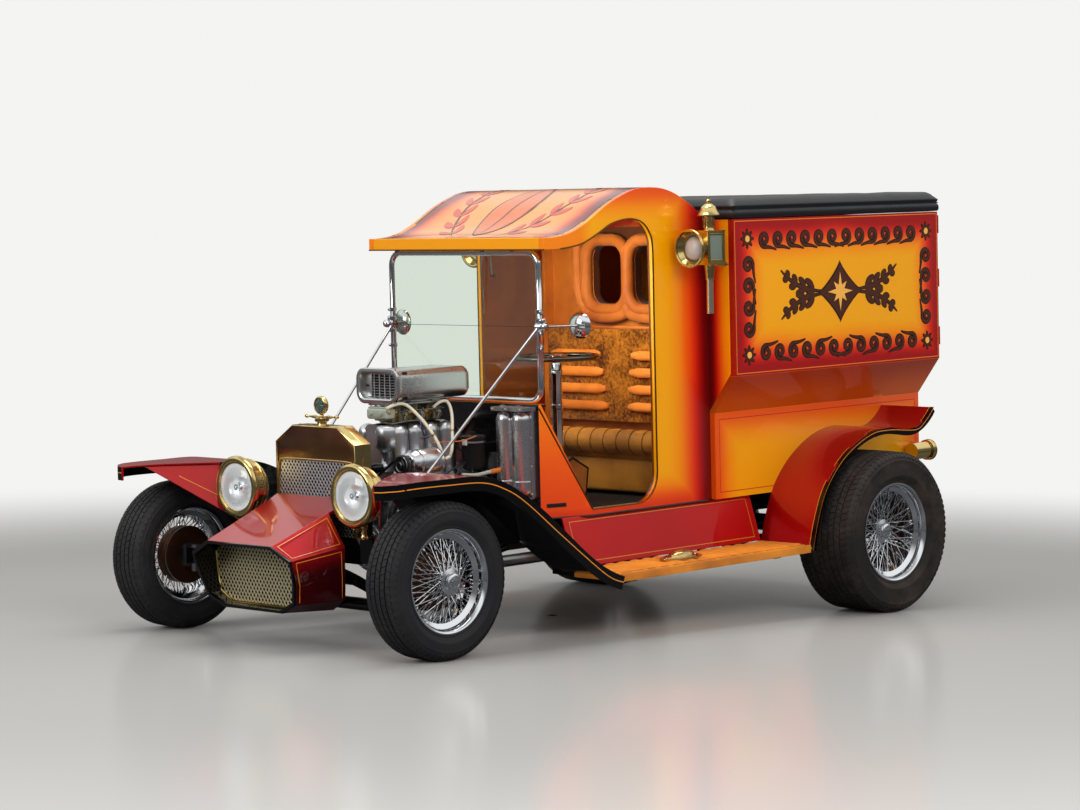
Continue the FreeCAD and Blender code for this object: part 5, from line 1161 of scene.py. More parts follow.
def make_nose():
    def mouth(ahead, inset=0.0):
        return nose_ring(1724 + ahead, 1653 + ahead, MOUTH, inset)

    rear = nose_ring(1444, 1444, NOSE_REAR)
    shell = skin([mouth(0), rear])
    root = [(1322, 236, 626), (1322, -236, 626)]
    tongue = skin([[(1444, 209, 584), (1444, -209, 584)], root], closed=False)
    flaps = skin([[(1444, 209, 584), (1322, 236, 626)], [(1444, 209, 572), (1322, 236, 612)]], closed=False)
    shell = merged(shell, tongue, both_sides(flaps))
    bmesh.ops.remove_doubles(shell, verts=shell.verts, dist=0.5)
    item = piece("nose_panels", facing_out(shell), NOSE_RED, stands_for=("nose_shell",), sharp=20)
    thick = item.modifiers.new("sheet", "SOLIDIFY")
    thick.thickness = 0.004
    thick.offset = -1
    soften(item, 7, 3, 12)
    rim = skin([mouth(*row) for row in ((-1, -0.5), (5, -1.5), (10, 1.0), (11, 6.0), (9, 11.0), (-2, 13.0))])
    inside = skin([mouth(-2, 13.0), nose_ring(1446, 1446, NOSE_REAR, 12)])
    piece("nose_mouth", [rim, inside], BLACK, sharp=45)
    lines = []
    ring = mouth(0)
    for hand in (1, -1):
        upper = [Vector((x, y * hand, z)) for x, y, z in (ring[0], rear[0], rear[1], ring[1])]
        if (upper[1] - upper[0]).cross(upper[2] - upper[1]).y * hand < 0:
            upper.reverse()
        lines.append(pin_frame(upper, 15, 3.2, 1.6))
        flank = [[Vector((x, y * hand, z)) for x, y, z in row] for row in zip(ring[1:4], rear[1:4])]
        starts = []
        for u in (0.07, 0.93):
            upper, middle, lower = (front.lerp(back, u) for front, back in flank)
            starts.append(upper.lerp(middle, 0.12))
            lines.append(pipe([starts[-1], middle, middle.lerp(lower, 0.9)], 2.0, 6))
        lines.append(pipe(starts, 2.0, 6))
    lines.append(pin_frame([ring[0], ring[-1], rear[-1], rear[0]], 16, 3.2, 1.2))
    for side in (1, -1):
        curl = [(1648 - 18 * t * math.cos(4.2 * t), side * (283.5 + 3.0 * t), 392 - 18 * t * math.sin(4.2 * t))
                for t in [i / 16 for i in range(4, 17)]]
        lines.append(pipe(curl, [1.6 + 0.8 * math.sin(math.pi * i / 12) for i in range(13)], 6))
    piece("nose_pinstripes", lines, GOLD, sharp=60)


def make_nose_grille():
    mesh = lattice(CREAM_BRASS, 300, 150, 16.4, 6.2, 1.8, 55)
    moved(mesh, facing_front(1602, 0, 345))
    ring = nose_ring(1602, 1602, GRILLE, 14)
    planes = []
    centre = Vector((1602, 0, 345))
    for first, second in zip(ring, ring[1:] + ring[:1]):
        side = Vector(second) - Vector(first)
        way = side.cross(Vector((1, 0, 0))).normalized()
        if way.dot(Vector(first) - centre) < 0:
            way = -way
        planes.append((first, way))
    piece("nose_lattice", trimmed(mesh, planes), CREAM_BRASS, stands_for=("nose_grille",))
    piece("nose_grille_frame", pipe(nose_ring(1606, 1606, GRILLE, 17), 6.5, 10, closed=True), BRASS)
    # A dark plate behind the lattice stands in as painted shade inside the nose.
    piece("nose_grille_shade", cast([(y, z) for x, y, z in nose_ring(1602, 1602, GRILLE, 16)], 1560, 1564), SATIN)


# Headlamps

def make_headlamps():
    bowl = lathe([(0, -112), (52, -111), (72, -108), (86, -102), (95, -94), (101, -84), (103, -74), (109, -72),
                  (110, -68),
                  (109, -64), (106, -62), (108, -36), (109, -31), (116, -29), (122, -25), (125, -18),
                  (125, -9), (122, -2),
                  (116, 2.5), (109, 4), (103, 2), (100, -3), (98, -10), (95, -12)], 72)
    ring = lathe([(99, -1), (102, -4), (101, -8), (97, -9), (95, -6)], 72)
    stem = lathe([(0, -172), (15, -172), (16, -166), (12, -160), (10, -140), (13, -132), (16, -128),
                  (16, -120), (12, -116),
                  (12, -108), (22, -100), (0, -99)], 24)
    moved(stem, at(-62, 0, 0))
    lug = slab((-80, -17, -112), (-44, 17, -86), 6)
    under = (0, math.sin(math.pi), math.cos(math.pi))
    screw = turned([(0, 0), (6, 0), (6, 5), (4, 7), (0, 7)], 6, (-14, 126 * under[1], 126 * under[2]), under)
    forward = aimed((0, 0, 0), (1, 0, 0))
    brass = merged(moved(merged(bowl, ring), forward), stem, lug, screw)
    dish = moved(lathe([(97, -8), (92, -22), (80, -44), (62, -62), (40, -73), (18, -78), (0, -79)], 64),
                 forward)
    bulb = moved(lathe([(0, -80), (14, -79), (14, -66), (8, -62), (10, -50), (13, -42), (12, -34), (7, -28),
                        (0, -26)], 24), forward)
    outer = [(98, -8), (90, -1), (76, 6), (56, 12), (34, 16), (14, 18), (0, 18.4)]
    glass = moved(lathe(outer + [(r, z - 2.2) for r, z in reversed(outer[:-1])], 64), forward)
    for hand, side in SIDES:
        place = TIPPED @ at(1447, side * 347, 655)
        piece(f"headlamp_shell_{hand}", brass.copy(), BRASS, place, sharp=38,
              stands_for=("headlamps",) if side > 0 else ())
        for name, work, finish in (("dish", dish, GLOWING_REFLECTOR), ("bulb", bulb, CHROME), ("glass", glass, LENS)):
            piece(f"headlamp_{name}_{hand}", work.copy(), finish, place)


# Fenders

def front_black(spot, way):
    """All but the front fender's top and the forward faces of its gusset."""
    return way.z <= 0.3 and not (way.x > 0.5 and spot.x > 1300 and abs(spot.y) < 745 and spot.z < 735)


def rear_black(spot, way):
    """The rear fender's underside and outer lip."""
    outboard = way.y * (1 if spot.y > 0 else -1)
    return way.z <= 0.15 and not (way.x > 0.3 and outboard < 0.5) and outboard >= -0.5


def height_over(line, x):
    """The height of a line of points at one distance along it."""
    for (x0, z0), (x1, z1) in zip(line, line[1:]):
        if min(x0, x1) <= x <= max(x0, x1):
            return z0 + (z1 - z0) * (x - x0) / (x1 - x0)
    return line[-1][1] if x > line[-1][0] else line[0][1]


def beside(line, depth, side):
    """Points along a side curve, moved below it, each with the way down from the curve there."""
    spots = smooth_path([(x, 0, z) for x, z in line], 8)
    path = []
    for index, spot in enumerate(spots):
        run = spots[min(index + 1, len(spots) - 1)] - spots[max(index - 1, 0)]
        down = Vector((run.z, 0, -run.x)).normalized()
        path.append((spot + down * depth + Vector((0, side, 0)), down))
    return path


def line_along(path, first, last):
    """A painted line between two ways to the sides of a path, as lengths down and outwards."""
    rows = []
    for spot, down in path:
        rows.append([spot + down * way[0] + Vector((0, way[1], 0)) for way in (first, last)])
    return skin(rows, closed=False)


def make_fenders():
    from_cad("front_fender_panels", "front_fenders", (FENDER_RED, BLACK), 1.6, 2, second=front_black)
    from_cad("rear_fender_panels", "rear_fenders", (FENDER_RED, BLACK), 1.6, 2, second=rear_black)
    dense = [(spot.x, spot.z) for spot, down in beside(FRONT_FENDER, 0, 0)]
    skirt = [(spot, down) for spot, down in beside(FRONT_FENDER, 24, 846.5) if 458 < spot.x < 1618]
    skirt += [(Vector((x, y, height_over(dense, x) - 24)), Vector((0, 0, -1)))
              for x, y in ((1640, 842.6), (1658.5, 832.5), (1675, 812), (1690.5, 792), (1697.4, 757))]
    gusset = [(1600, 709, 736), (1345, 516, 736), (1303, 360, 500)]
    crown = [(spot, down) for spot, down in beside(FRONT_FENDER, -0.8, 832) if spot.x < 1620]
    lines = [line_along(skirt, (-2, 0), (2, 0)), pin_frame(gusset, 16, 3, 10),
             line_along(beside(REAR_FENDER, 10, 832.6), (-2, 0), (2, 0)),
             line_along(beside(REAR_FENDER, -0.8, 818), (0, -1.8), (0, 1.8)),
             line_along(crown, (0, -1.8), (0, 1.8))]
    piece("rear_fender_lips", line_along(beside(REAR_FENDER, -0.6, 828), (0, -12), (0, 14)), BLACK, sharp=60,
          twin=True)
    piece("fender_pinstripes", facing_out(merged(*lines)), GOLD, sharp=60, twin=True)


make_radiator()
make_cap()
make_nose()
make_nose_grille()
make_headlamps()
make_fenders()


# Engine

CARBURETTORS = (725, 817, 909)
DISTRIBUTOR = 622


def fastened(spots, radius, high, way=(0, 0, 1)):
    """Six-sided bolt heads with washers at some points, facing one way."""
    head = [(0, high), (radius * 0.8, high), (radius, high - 1), (radius, 0), (radius * 1.35, 0),
            (radius * 1.35, -1), (0, -1)]
    return merged(*(turned(head, 6, spot, way) for spot in spots))


def make_scoop():
    """A polished alloy scoop with a rolled rim, a bolted plate and a grid of bars in its mouth."""
    middle = 1041
    body = skin([rounded_ring(x, 0, middle, wide, tall, tall * 0.62) for x, wide, tall in (
        (575, 106, 52), (577, 111, 57), (586, 115, 61.5), (606, 116, 62.5), (952, 116, 62.5), (960, 117, 63.5),
        (965, 121, 67.5), (968, 125, 71.5), (973, 126, 72.5), (979, 126,
                                                               72.5), (983.5, 122, 68.5), (985, 115, 62),
        (985, 109, 57), (981, 103, 52), (970, 99.5, 48.5), (940, 99, 48), (600, 98, 47))], capped=True)
    base = [cast([(622, -52), (952, -52), (958, -46), (958, 46), (952, 52), (622, 52), (612, 40), (612, -40)],
                 968.5, 982, "XY", 2),
            slab((676, -70, 961), (969, 70, 969), 2.5)]
    bolts = fastened([(x, side * 61, 969) for x in (664, 742, 860, 940) for side in (1, -1)], 5, 5)
    seams = [bar((x, -118, middle - 40), (x, -118, middle + 40), 1.2, 6) for x in (700, 860)]
    piece("scoop_body", [body, *base, *seams], SCOOP, stands_for=("air_scoop",), sharp=32)
    piece("scoop_bolts", bolts, STEEL)
    plate = slab((951, -98, middle - 46), (957, -60, middle + 46), 2)
    piece("scoop_plate", plate, SCOOP_PLATE)
    piece("scoop_plate_bolt", [bar((956, -80, middle), (966, -80, middle), 5.5, 12),
                                     bar((965, -80, middle), (970, -80, middle), 3.0, 6)], DARK_CAST)
    upright = rows_of(bar((0, 0, middle - 48), (0, 0, middle + 48), 2.2, 8), STEEL_MESH, 5, (0, 31, 0))
    moved(upright, at(956, -44, 0))
    level = rows_of(slab((950, -60, -1.3), (955, 98, 1.3), 0.8, 1), STEEL_MESH, 9, (0, 0, 11))
    moved(level, at(0, 0, middle - 44))
    piece("scoop_grid", [upright, level], STEEL_MESH)
    # A black block behind the grid stands in as painted shade inside the scoop's mouth.
    piece("scoop_mouth_shade", slab((915, -110, middle - 57), (940, 110, middle + 57), 4), SATIN)


def make_carburettor():
    """One two-barrel carburettor, drawn about its own middle with its flange at the bottom."""
    flange = cast([(-34, -30), (34, -30), (40, 0), (34, 30), (-34, 30), (-40, 0)], 0, 7, "XY", 1.5)
    levels = [cast([(-a, -d), (a, -d), (b, -c), (b, c), (a, d), (-a, d), (-b, c), (-b, -c)], low, high, "XY",
                   corner)
              for a, b, c, d, low, high, corner in ((28, 33, 38, 46, 7, 44, 4), (31, 35, 44, 51, 36, 48, 2),
                                                    (30, 34, 42, 50, 50, 61, 2.5))]
    throats = [moved(lathe([(23, 0), (24, 12), (22, 14), (19, 14), (17.5, 8), (16, -4), (16, -30)], 24),
                     at(0, side * 27, 61)) for side in (1, -1)]
    bowls = []
    for side in (1, -1):
        bowl = cast([(-24, 48), (24, 48), (24, 74), (16, 83), (-16, 83), (-24, 74)], 10, 46, "XY", 5)
        if side < 0:
            bowl = moved(bowl, FLIP)
            bmesh.ops.reverse_faces(bowl, faces=bowl.faces)
        bowls.append(bowl)
        bowls.append(turned([(0, 0), (11, 0), (13, 3), (13, 7), (8, 9), (8, 12), (0, 13)], 20,
                            (0, side * 83, 28), (0, side, 0)))
        bowls.append(turned([(0, 0), (7, 0), (7, 9), (4.5, 11), (4.5, 16), (0, 16)], 6, (13, side * 82, 40),
                            (0, side, 0.2)))
    screws = fastened([(x, y, 61) for x in (-27, 27) for y in (-42, 0, 42)], 3.4, 3.6)
    jets = [bar((-34, y, 22), (-42, y, 22), 4.5, 6) for y in (-20, 20)]
    return merged(flange, *levels, *throats, *bowls, screws, *jets)


def make_carburettors():
    one = make_carburettor()
    three = rows_of(one, CARB_ALLOY, 3, (92, 0, 0))
    moved(three, at(725, 0, 885))
    piece("carburettor_bodies", three, CARB_ALLOY)
    from_cad("intake", "carburettors", INTAKE_ALLOY, 0, without=lambda p, way: p.z > 885.5)
    discs = []
    for x in CARBURETTORS:
        for side in (1, -1):
            pump = lathe([(0, 0), (19, 0), (21, 2), (21, 6), (17, 9), (9, 12), (7, 18), (4, 21), (0, 21)], 28)
            rim = around(moved(slab((-2, -2, 0), (2, 2, 3), 0.8, 1), at(18, 0, 6)), STEEL, 6)
            discs.append(moved(merged(pump, rim), aimed((x + 26, side * 48, 921), (0.25, side, 0))))
    piece("pump_covers", discs, BRASS_DULL)
    bowl = slab((938, -60, 907), (992, 62, 951), 11, 4)
    lid = slab((944, -54, 950), (986, 56, 957), 3)
    nuts = fastened([(x, y, 957) for x, y in ((952, -44), (978, -44), (952, 46), (978, 46), (965, 0))], 4.5, 5)
    port = [bar((990, y, 930), (1001, y, 930), 9, 6) for y in (-30, 32)]
    piece("front_float_bowl", [bowl, lid, nuts, *port], SAGE_ALLOY)
    parts = [bar((700, y, 938), (950, y, 938), 3.2, 10) for y in (88, -88)]
    for x in CARBURETTORS:
        for side in (1, -1):
            parts.append(slab((x - 4, min(side * 60, side * 94), 929), (x + 4, max(side * 60, side * 94), 947),
                              2))
            parts.append(bar((x, side * 90, 938), (x + 16, side * 96, 903), 2.6, 8))
    parts.append(pipe([(1000, 95, 892), (905, 104, 900), (845, 112, 898)], 2.4, 8))
    parts += [pipe([(851 + 17 * way, 96, 936), (851 + 7 * way, 120, 880), (850, 132, 842)], 2.2, 8)
              for way in (1, -1)]
    piece("throttle_linkage", parts, STEEL)
    bracket = merged(slab((836, 118, 832), (866, 128, 902), 3), slab((830, 100, 826), (872, 140, 834), 3),
                     bar((851, 122, 884), (851, 140, 884), 9, 16))
    piece("throttle_bracket", bracket, MAUVE_STEEL)


def make_fuel_lines():
    """Two pale hoses from the outer carburettors to the pump, and the coil's wire."""
    lines = [pipe(smooth_path(path, steps), 6.6, 12) for path, steps in (
        ([(975, 58, 936), (1000, 84, 958), (930, 100, 968), (892, 150, 915), (862, 196, 842), (845, 220, 782),
          (838, 214, 752)], 10),
        ([(748, 66, 934), (724, 90, 962), (693, 102, 962), (706, 140, 920), (752, 190, 850), (785, 220, 786),
          (792, 214, 752)], 10),
        ([(792, 214, 752), (815, 210, 744), (838, 214, 752)], 6))]
    piece("fuel_hoses", lines, CREAM_HOSE)
    ends = []
    for spot, way in (((975, 58, 936), (0.4, 0.9, 0.3)), ((748, 66, 934), (-0.4, 0.8, 0.4))):
        ends.append(turned([(0, -8), (8, -8), (8, 0), (9.5, 2), (9.5, 10), (8, 12), (0, 12)], 6, spot, way))
    clamps = [turned([(6.6, -4), (8.4, -4), (8.4, 4), (6.6, 4)], 20, spot, way) for spot, way in
              (((862, 196, 842), (-0.3, 0.5, -0.8)), ((752, 190, 850), (0.4, 0.5, -0.8)))]
    piece("hose_ends", [*ends, *clamps], BRASS_DULL)
    wire = pipe(smooth_path([(818, 130, 806), (782, 190, 808), (740, 236, 812), (700, 250, 822),
                             (668, 240, 826)], 8), 2.2, 8)
    piece("coil_wire", wire, ORANGE_WIRE)


def make_leads():
    """Ignition leads from the distributor's towers to the plugs of both heads."""
    works = []
    boots = []
    for index in range(4):
        for side in (1, -1):
            turn = math.radians(22.5 + 45 * index) * side
            tower = Vector((DISTRIBUTOR + 24 * math.cos(turn), 24 * math.sin(turn), 858))
            x = 634 + 85 * index
            plug = Vector((x, side * 233, 512))
            route = [tower, tower + Vector((-2, side * 16, 14)), (628 + 3 * index, side * (92 + 4 * index),
                                                                  846 - 9 * index),
                     (634 + 5 * index, side * (164 + 5 * index), 770 - 10 * index)]
            if index:
                route.append((x - 34, side * (226 + 4 * index), 692 - 4 * index))
            route += [(x, side * 262, 650), (x, side * 285, 608), (x, side * 263, 570), (x, side * 243, 545),
                      (x, side * 238, 532)]
            works.append(pipe(smooth_path(route, 8), 3.8, 8))
            boots.append(turned([(0, 0), (7, 0), (8, 4), (7, 20), (5.5, 24), (0, 24)], 14, plug,
                                (0, side * 0.22, 1)))
    piece("ignition_leads", works, RED_BROWN_LEAD)
    piece("plug_boots", boots, SATIN)


def make_distributor():
    """The distributor's ribbed body and cap, over the block that stands round its foot."""
    body = lathe([(0, 490), (20, 490), (22, 560), (30, 590), (30, 640), (24, 660), (24, 700), (34, 716),
                  (36, 730), (36, 780), (33, 786)], 32)
    ribs = around(slab((35, -1.6, 733), (37.5, 1.6, 776), 0.5, 1), MAUVE_STEEL, 30)
    cap = lathe([(33, 786), (38, 787), (38, 800), (35, 816), (29, 830), (18, 838), (0, 840)], 32)
    tower = lathe([(0, 800), (7, 800), (7, 850), (6, 857), (0, 857)], 12)
    towers = around(moved(tower, at(26, 0, 0)), SATIN, 8, math.radians(22.5))
    middle = lathe([(0, 836), (9, 836), (9, 858), (7, 862), (0, 862)], 14)
    place = at(DISTRIBUTOR, 0, 0)
    from_cad("engine_castings", "engine_block", CAST, 0,
             without=lambda p, way: p.z > 600 and math.hypot(p.x - DISTRIBUTOR, p.y) < 44)
    piece("distributor_body", moved(merged(body, ribs), place), MAUVE_STEEL)
    piece("distributor_cap", moved(merged(cap, towers, middle), place), OLIVE_PLASTIC)


def make_generator():
    """A silver generator with cooling slots, its pulley and the fan belt."""
    turn = aimed((868, 225, 738), FORWARD)
    case = lathe([(0, 0), (22, 0), (30, 1), (46, 3), (54, 7), (57, 13), (57.5, 22), (56, 26), (58, 30),
                  (58, 118), (56, 122),
                  (57.5, 126), (57, 140), (50, 151), (43, 165), (36, 168.5), (15, 169), (14, 182), (0, 182)],
                 48)
    # The cooling slots are black bars on the end cap: painted shade in the openings.
    slots = around(slab((20, -3.2, 165), (35, 3.2, 171), 2, 2), SATIN, 10)
    bolts = [moved(lathe([(0, 0), (5, 0), (5, 7), (0, 7)], 6), at(41 * math.cos(t), 41 * math.sin(t), 163))
             for t in (0.5, 2.6, 4.7)]
    piece("generator_case", moved(merged(case, *bolts), turn), BRIGHT, sharp=38)
    piece("generator_slot_shade", moved(slots, turn), SATIN)
    pulley = lathe([(0, 182), (12, 182), (12, 176), (30, 178), (38, 182), (38.5, 186), (33, 190), (33, 198),
                    (38.5, 202),
                    (38, 206), (32, 208), (26, 207), (22, 203), (20, 207), (14, 208), (12, 214), (0, 215)], 40)
    vanes = around(slab((13, -1, 168), (36, 1, 181), 0.5, 1), STEEL, 12)
    piece("generator_pulley", moved(merged(pulley, vanes), turn), STEEL)
    piece("generator_pulley_eye", moved(lathe([(0, 215.6), (9, 215), (11, 209)], 24), turn), SATIN)
    groove = [(0, 400, 84), (225, 738, 38), (0, 570, 58)]
    belt = skin([[(x, y, z) for y, z in belt_outline(groove, grow)]
                 for x, grow in ((1057, 2.5), (1067, 2.5), (1065, -5.5), (1059, -5.5))], looped=True)
    piece("fan_belt", belt, BELT_RUBBER, sharp=25)


def belt_outline(pulleys, grow, steps=14):
    """Points on a belt that runs round the outside of pulleys, in turn anticlockwise seen from ahead."""
    ring = []
    legs = []
    for (y0, z0, r0), (y1, z1, r1) in zip(pulleys, pulleys[1:] + pulleys[:1]):
        lean = math.acos((r0 - r1) / math.hypot(y1 - y0, z1 - z0))
        legs.append(math.atan2(z1 - z0, y1 - y0) - lean)
    for index, (y0, z0, r0) in enumerate(pulleys):
        first, last = legs[index - 1], legs[index]
        while last < first:
            last += 2 * math.pi
        for step in range(steps + 1):
            turn = first + (last - first) * step / steps
            ring.append((y0 + (r0 + grow) * math.cos(turn), z0 + (r0 + grow) * math.sin(turn)))
    return ring


def make_pulleys():
    """The crank's and the fan's pulleys, before the timing cover."""
    works = []
    for y, z, radius in ((0, 400, 84), (0, 570, 58)):
        wheel = lathe([(0, 1046), (22, 1046), (26, 1050), (radius - 10, 1052), (radius - 2, 1050),
                       (radius, 1053), (radius - 6, 1058),
                       (radius - 6, 1066), (radius, 1071), (radius - 1, 1076), (radius - 8, 1078),
                       (radius - 18, 1074),
                       (30, 1068), (22, 1072), (20, 1078), (0, 1079)], 56)
        bolts = around(moved(lathe([(0, 1068), (5.5, 1068), (5.5, 1077), (0, 1078)], 6), at(34, 0, 0)), STEEL,
                       4)
        works.append(moved(merged(wheel, bolts), aimed((0, y, z), FORWARD)))
    piece("belt_pulleys", works, CHROME, sharp=38)
    from_cad("timing_cover", "engine_front", BRIGHT, 0,
             without=lambda p, way: p.x > 1050.3 or math.hypot(p.y - 225, p.z - 738) < 62)


make_scoop()
make_carburettors()
make_fuel_lines()
make_leads()
make_distributor()
make_generator()
make_pulleys()


# Cab, box and painted ornament

ROOF_LINE = [(-440, 1664), (-340, 1736), (-266, 1775), (-180, 1803), (-96, 1811), (-5, 1805), (86, 1778),
             (176, 1739), (266, 1688), (355, 1646), (442, 1625), (535, 1621)]
HEAD_LINE = [(441, 1573), (323, 1589), (226, 1628), (153, 1663), (80, 1680), (19, 1683), (-42, 1667),
             (-85, 1623),
             (-102, 1555)]
DOOR_LINE = [(-102, 1300), (-102, 1000), (-102, 700), (-102, 630), (-93, 585), (-67, 545), (-27, 519),
             (18, 510),
             (120, 510), (288, 510)]


def stroke(points, width, place, tips):
    """A painted stroke that swells between its tips, on the surface that place lays out."""
    spots = [Vector((*point, 0)) for point in points]
    rows = []
    last = len(spots) - 1
    for index, spot in enumerate(spots):
        run = (spots[min(index + 1, last)] - spots[max(index - 1, 0)]).normalized()
        part = index / last
        tip = tips[0] + (tips[1] - tips[0]) * part
        swell = tip + (1 - tip) * math.sin(math.pi * part) ** 0.7
        aside = Vector((-run.y, run.x, 0)) * (width * swell / 2)
        rows.append([place(spot.x - aside.x, spot.y - aside.y), place(spot.x + aside.x, spot.y + aside.y)])
    return skin(rows, closed=False)


def patch(points, place):
    """A flat painted shape, laid out round its middle."""
    work = bmesh.new()
    middle = work.verts.new(place(sum(a for a, b in points) / len(points),
                                  sum(b for a, b in points) / len(points)))
    rim = [work.verts.new(place(*point)) for point in points]
    for first, second in zip(rim, rim[1:] + rim[:1]):
        work.faces.new((middle, first, second))
    return work


def wave(middle, hand, turn=0.0):
    """One curl of a running wave: a tail that runs in under it and a spiral."""
    size = 62
    line = []
    for part in [index / 8 for index in range(8)]:
        line.append((-size * 1.25 * (1 - part), -size * 0.5 - size * 0.22 * (1 - part) ** 2))
    for part in [index / 34 for index in range(35)]:
        radius = size * 0.5 * (1 - 0.78 * part)
        angle = -math.pi / 2 + 2.7 * math.pi * part
        line.append((radius * math.cos(angle), radius * math.sin(angle)))
    cosine, sine = math.cos(turn), math.sin(turn)
    return [(middle[0] + x * hand * cosine - y * sine, middle[1] + x * hand * sine + y * cosine) for x,
            y in line]


def leaf_line(start, heading, length, bend, steps=10):
    """A bent line for a leaf or a stem."""
    x, y = start
    line = [(x, y)]
    for index in range(steps):
        angle = heading + bend * index / steps
        x += length / steps * math.cos(angle)
        y += length / steps * math.sin(angle)
        line.append((x, y))
    return line


def make_side_ornament():
    """A frame of running waves with corner rosettes round a star between two sprays of leaves."""
    left, right, low, high = BOX_REAR + 88, BOX_NOSE - 88, UPPER_LOW + 84, UPPER_TOP - 84
    middle, level = (left + right) / 2, (low + high) / 2
    strokes = []
    across = (right - left - 130) / 12
    up = (high - low - 130) / 4
    for index in range(6):
        for hand in (1, -1):
            x = middle + hand * (across * (index + 0.5))
            strokes.append((wave((x, high - 6), hand), 17))
            curl = wave((x, low + 6), hand)
            strokes.append(([(px, 2 * (low + 6) - py) for px, py in curl] if index % 2 else curl, 17))
    for index in range(2):
        for hand in (1, -1):
            for x, turn in ((left + 4, math.pi / 2), (right - 4, -math.pi / 2)):
                y = level + hand * (up * (index + 0.5))
                strokes.append((wave((x, y), hand if turn > 0 else -hand, turn), 17))
    for hand in (1, -1):
        for lift in (1, -1):
            stem = leaf_line((middle + hand * 118, level + lift * 8), 0 if hand > 0 else math.pi, 300,
                             0.75 * lift * hand)
            strokes.append((stem, 15))
            for step in (2, 4, 6, 8):
                x, y = stem[step]
                base = math.atan2(stem[step + 1][1] - y, stem[step + 1][0] - x)
                for side in (1, -1):
                    strokes.append((leaf_line((x, y), base + side * 0.95, 92 - 7 * step, -side * 0.9), 26))

    def on_panel(lift):
        return lambda x, y: (x, UPPER_FACE + lift, y)

    outlines, fills, lights = [], [], []
    for index, (points, width) in enumerate(strokes):
        step = 0.012 * index
        outlines.append(stroke(points, width + 8, on_panel(0.4 + step), (0.3, 0.3)))
        fills.append(stroke(points, width, on_panel(1.2 + step), (0.12, 0.2)))
    for x, y in ((left, low), (left, high), (right, low), (right, high)):
        for radius, lift, parts in ((44, 1.1, outlines), (38, 1.9, fills)):
            reach = [(t, radius * (0.8 + 0.2 * math.cos(8 * t))) for t in turns(64)]
            parts.append(patch([(x + far * math.cos(t), y + far * math.sin(t)) for t, far in reach],
                               on_panel(lift)))
        lights.append(patch(oval(x, y, 14, 14, 24), on_panel(2.3)))
    for wide, tall, lift, parts in ((152, 118, 1.1, outlines), (142, 108, 1.9, fills)):
        ring = []
        for c, s in oval(0, 0, 1, 1, 96):
            ring.append((middle + wide * math.copysign(abs(c) ** 2.4, c),
                         level + tall * math.copysign(abs(s) ** 2.4, s) * 1.15))
        parts.append(patch(ring, on_panel(lift)))
    star = []
    for t, far in zip(turns(16), (84, 30, 84 * 0.72, 30) * 4):
        star.append((middle + far * math.cos(t), level + far * math.sin(t)))
    lights.append(patch(star, on_panel(2.3)))
    for name, parts, finish in (("side_ornament_outline", outlines, ART_LINE),
                                ("side_ornament", fills, ART_BROWN),
                                ("side_ornament_lights", lights, ART_LIGHT)):
        piece(name, parts, finish, sharp=60, twin=True)


def make_roof_ornament():
    """A long leaf between two branches on the waved roof, in peach, red and maroon."""
    line = [(spot.x, spot.z) for spot in smooth_path([(x, 0, z) for x, z in ROOF_LINE], 8)]
    for name, finish, lift, strokes in (
            ("roof_leaf_shade", ROOF_DARK, 1.0, [([(x, 0) for x in range(-70, 431, 12)], 236)]),
            ("roof_leaf", ROOF_LEAF, 1.6, [([(x, 0) for x in range(-56, 417, 12)], 214)]),
            ("roof_leaf_vein", ROOF_DARK, 2.2, [([(x, 0) for x in range(-30, 391, 12)], 9)]),
            ("roof_branches", ROOF_DARK, 1.0, []), ("roof_branch_leaves", ROOF_RED, 1.4, [])):
        for hand in (1, -1):
            stem = leaf_line((430, hand * 120), math.pi - hand * 0.9, 620, hand * 1.3, 40)
            if name == "roof_branches":
                strokes.append((stem, 13))
            if name == "roof_branch_leaves":
                for step in range(4, 38, 6):
                    run = math.atan2(stem[step + 1][1] - stem[step][1], stem[step + 1][0] - stem[step][0])
                    strokes += [(leaf_line(stem[step], run + side * 0.85, 96, -side * 0.7, 10), 34)
                                for side in (1, -1)]
        works = [stroke(points, width, lambda x, y: (x, y, height_over(line, x) + lift), (0.02, 0.02))
                 for points, width in strokes]
        piece(name, works, finish, sharp=60)


def make_box():
    from_cad("box_side_panels", "box_sides", BOX, 5, 3)
    from_cad("box_front_panels", "box_front", BOX_FRONT, 4, 3)
    for name, low, top, face, inset, width, finish in (
            ("box_edge_lines", UPPER_LOW, UPPER_TOP, UPPER_FACE, 7, 3.4, ART_ORANGE),
            ("box_lower_lines", LOWER_LOW, LOWER_TOP, LOWER_FACE, 26, 3.0, ART_RED)):
        corners = [(x, face, z) for x, z in ((BOX_NOSE, low), (BOX_REAR, low), (BOX_REAR, top),
                                             (BOX_NOSE, top))]
        piece(name, pin_frame(corners, inset, width, 0.7), finish, sharp=60, twin=True)
    make_side_ornament()


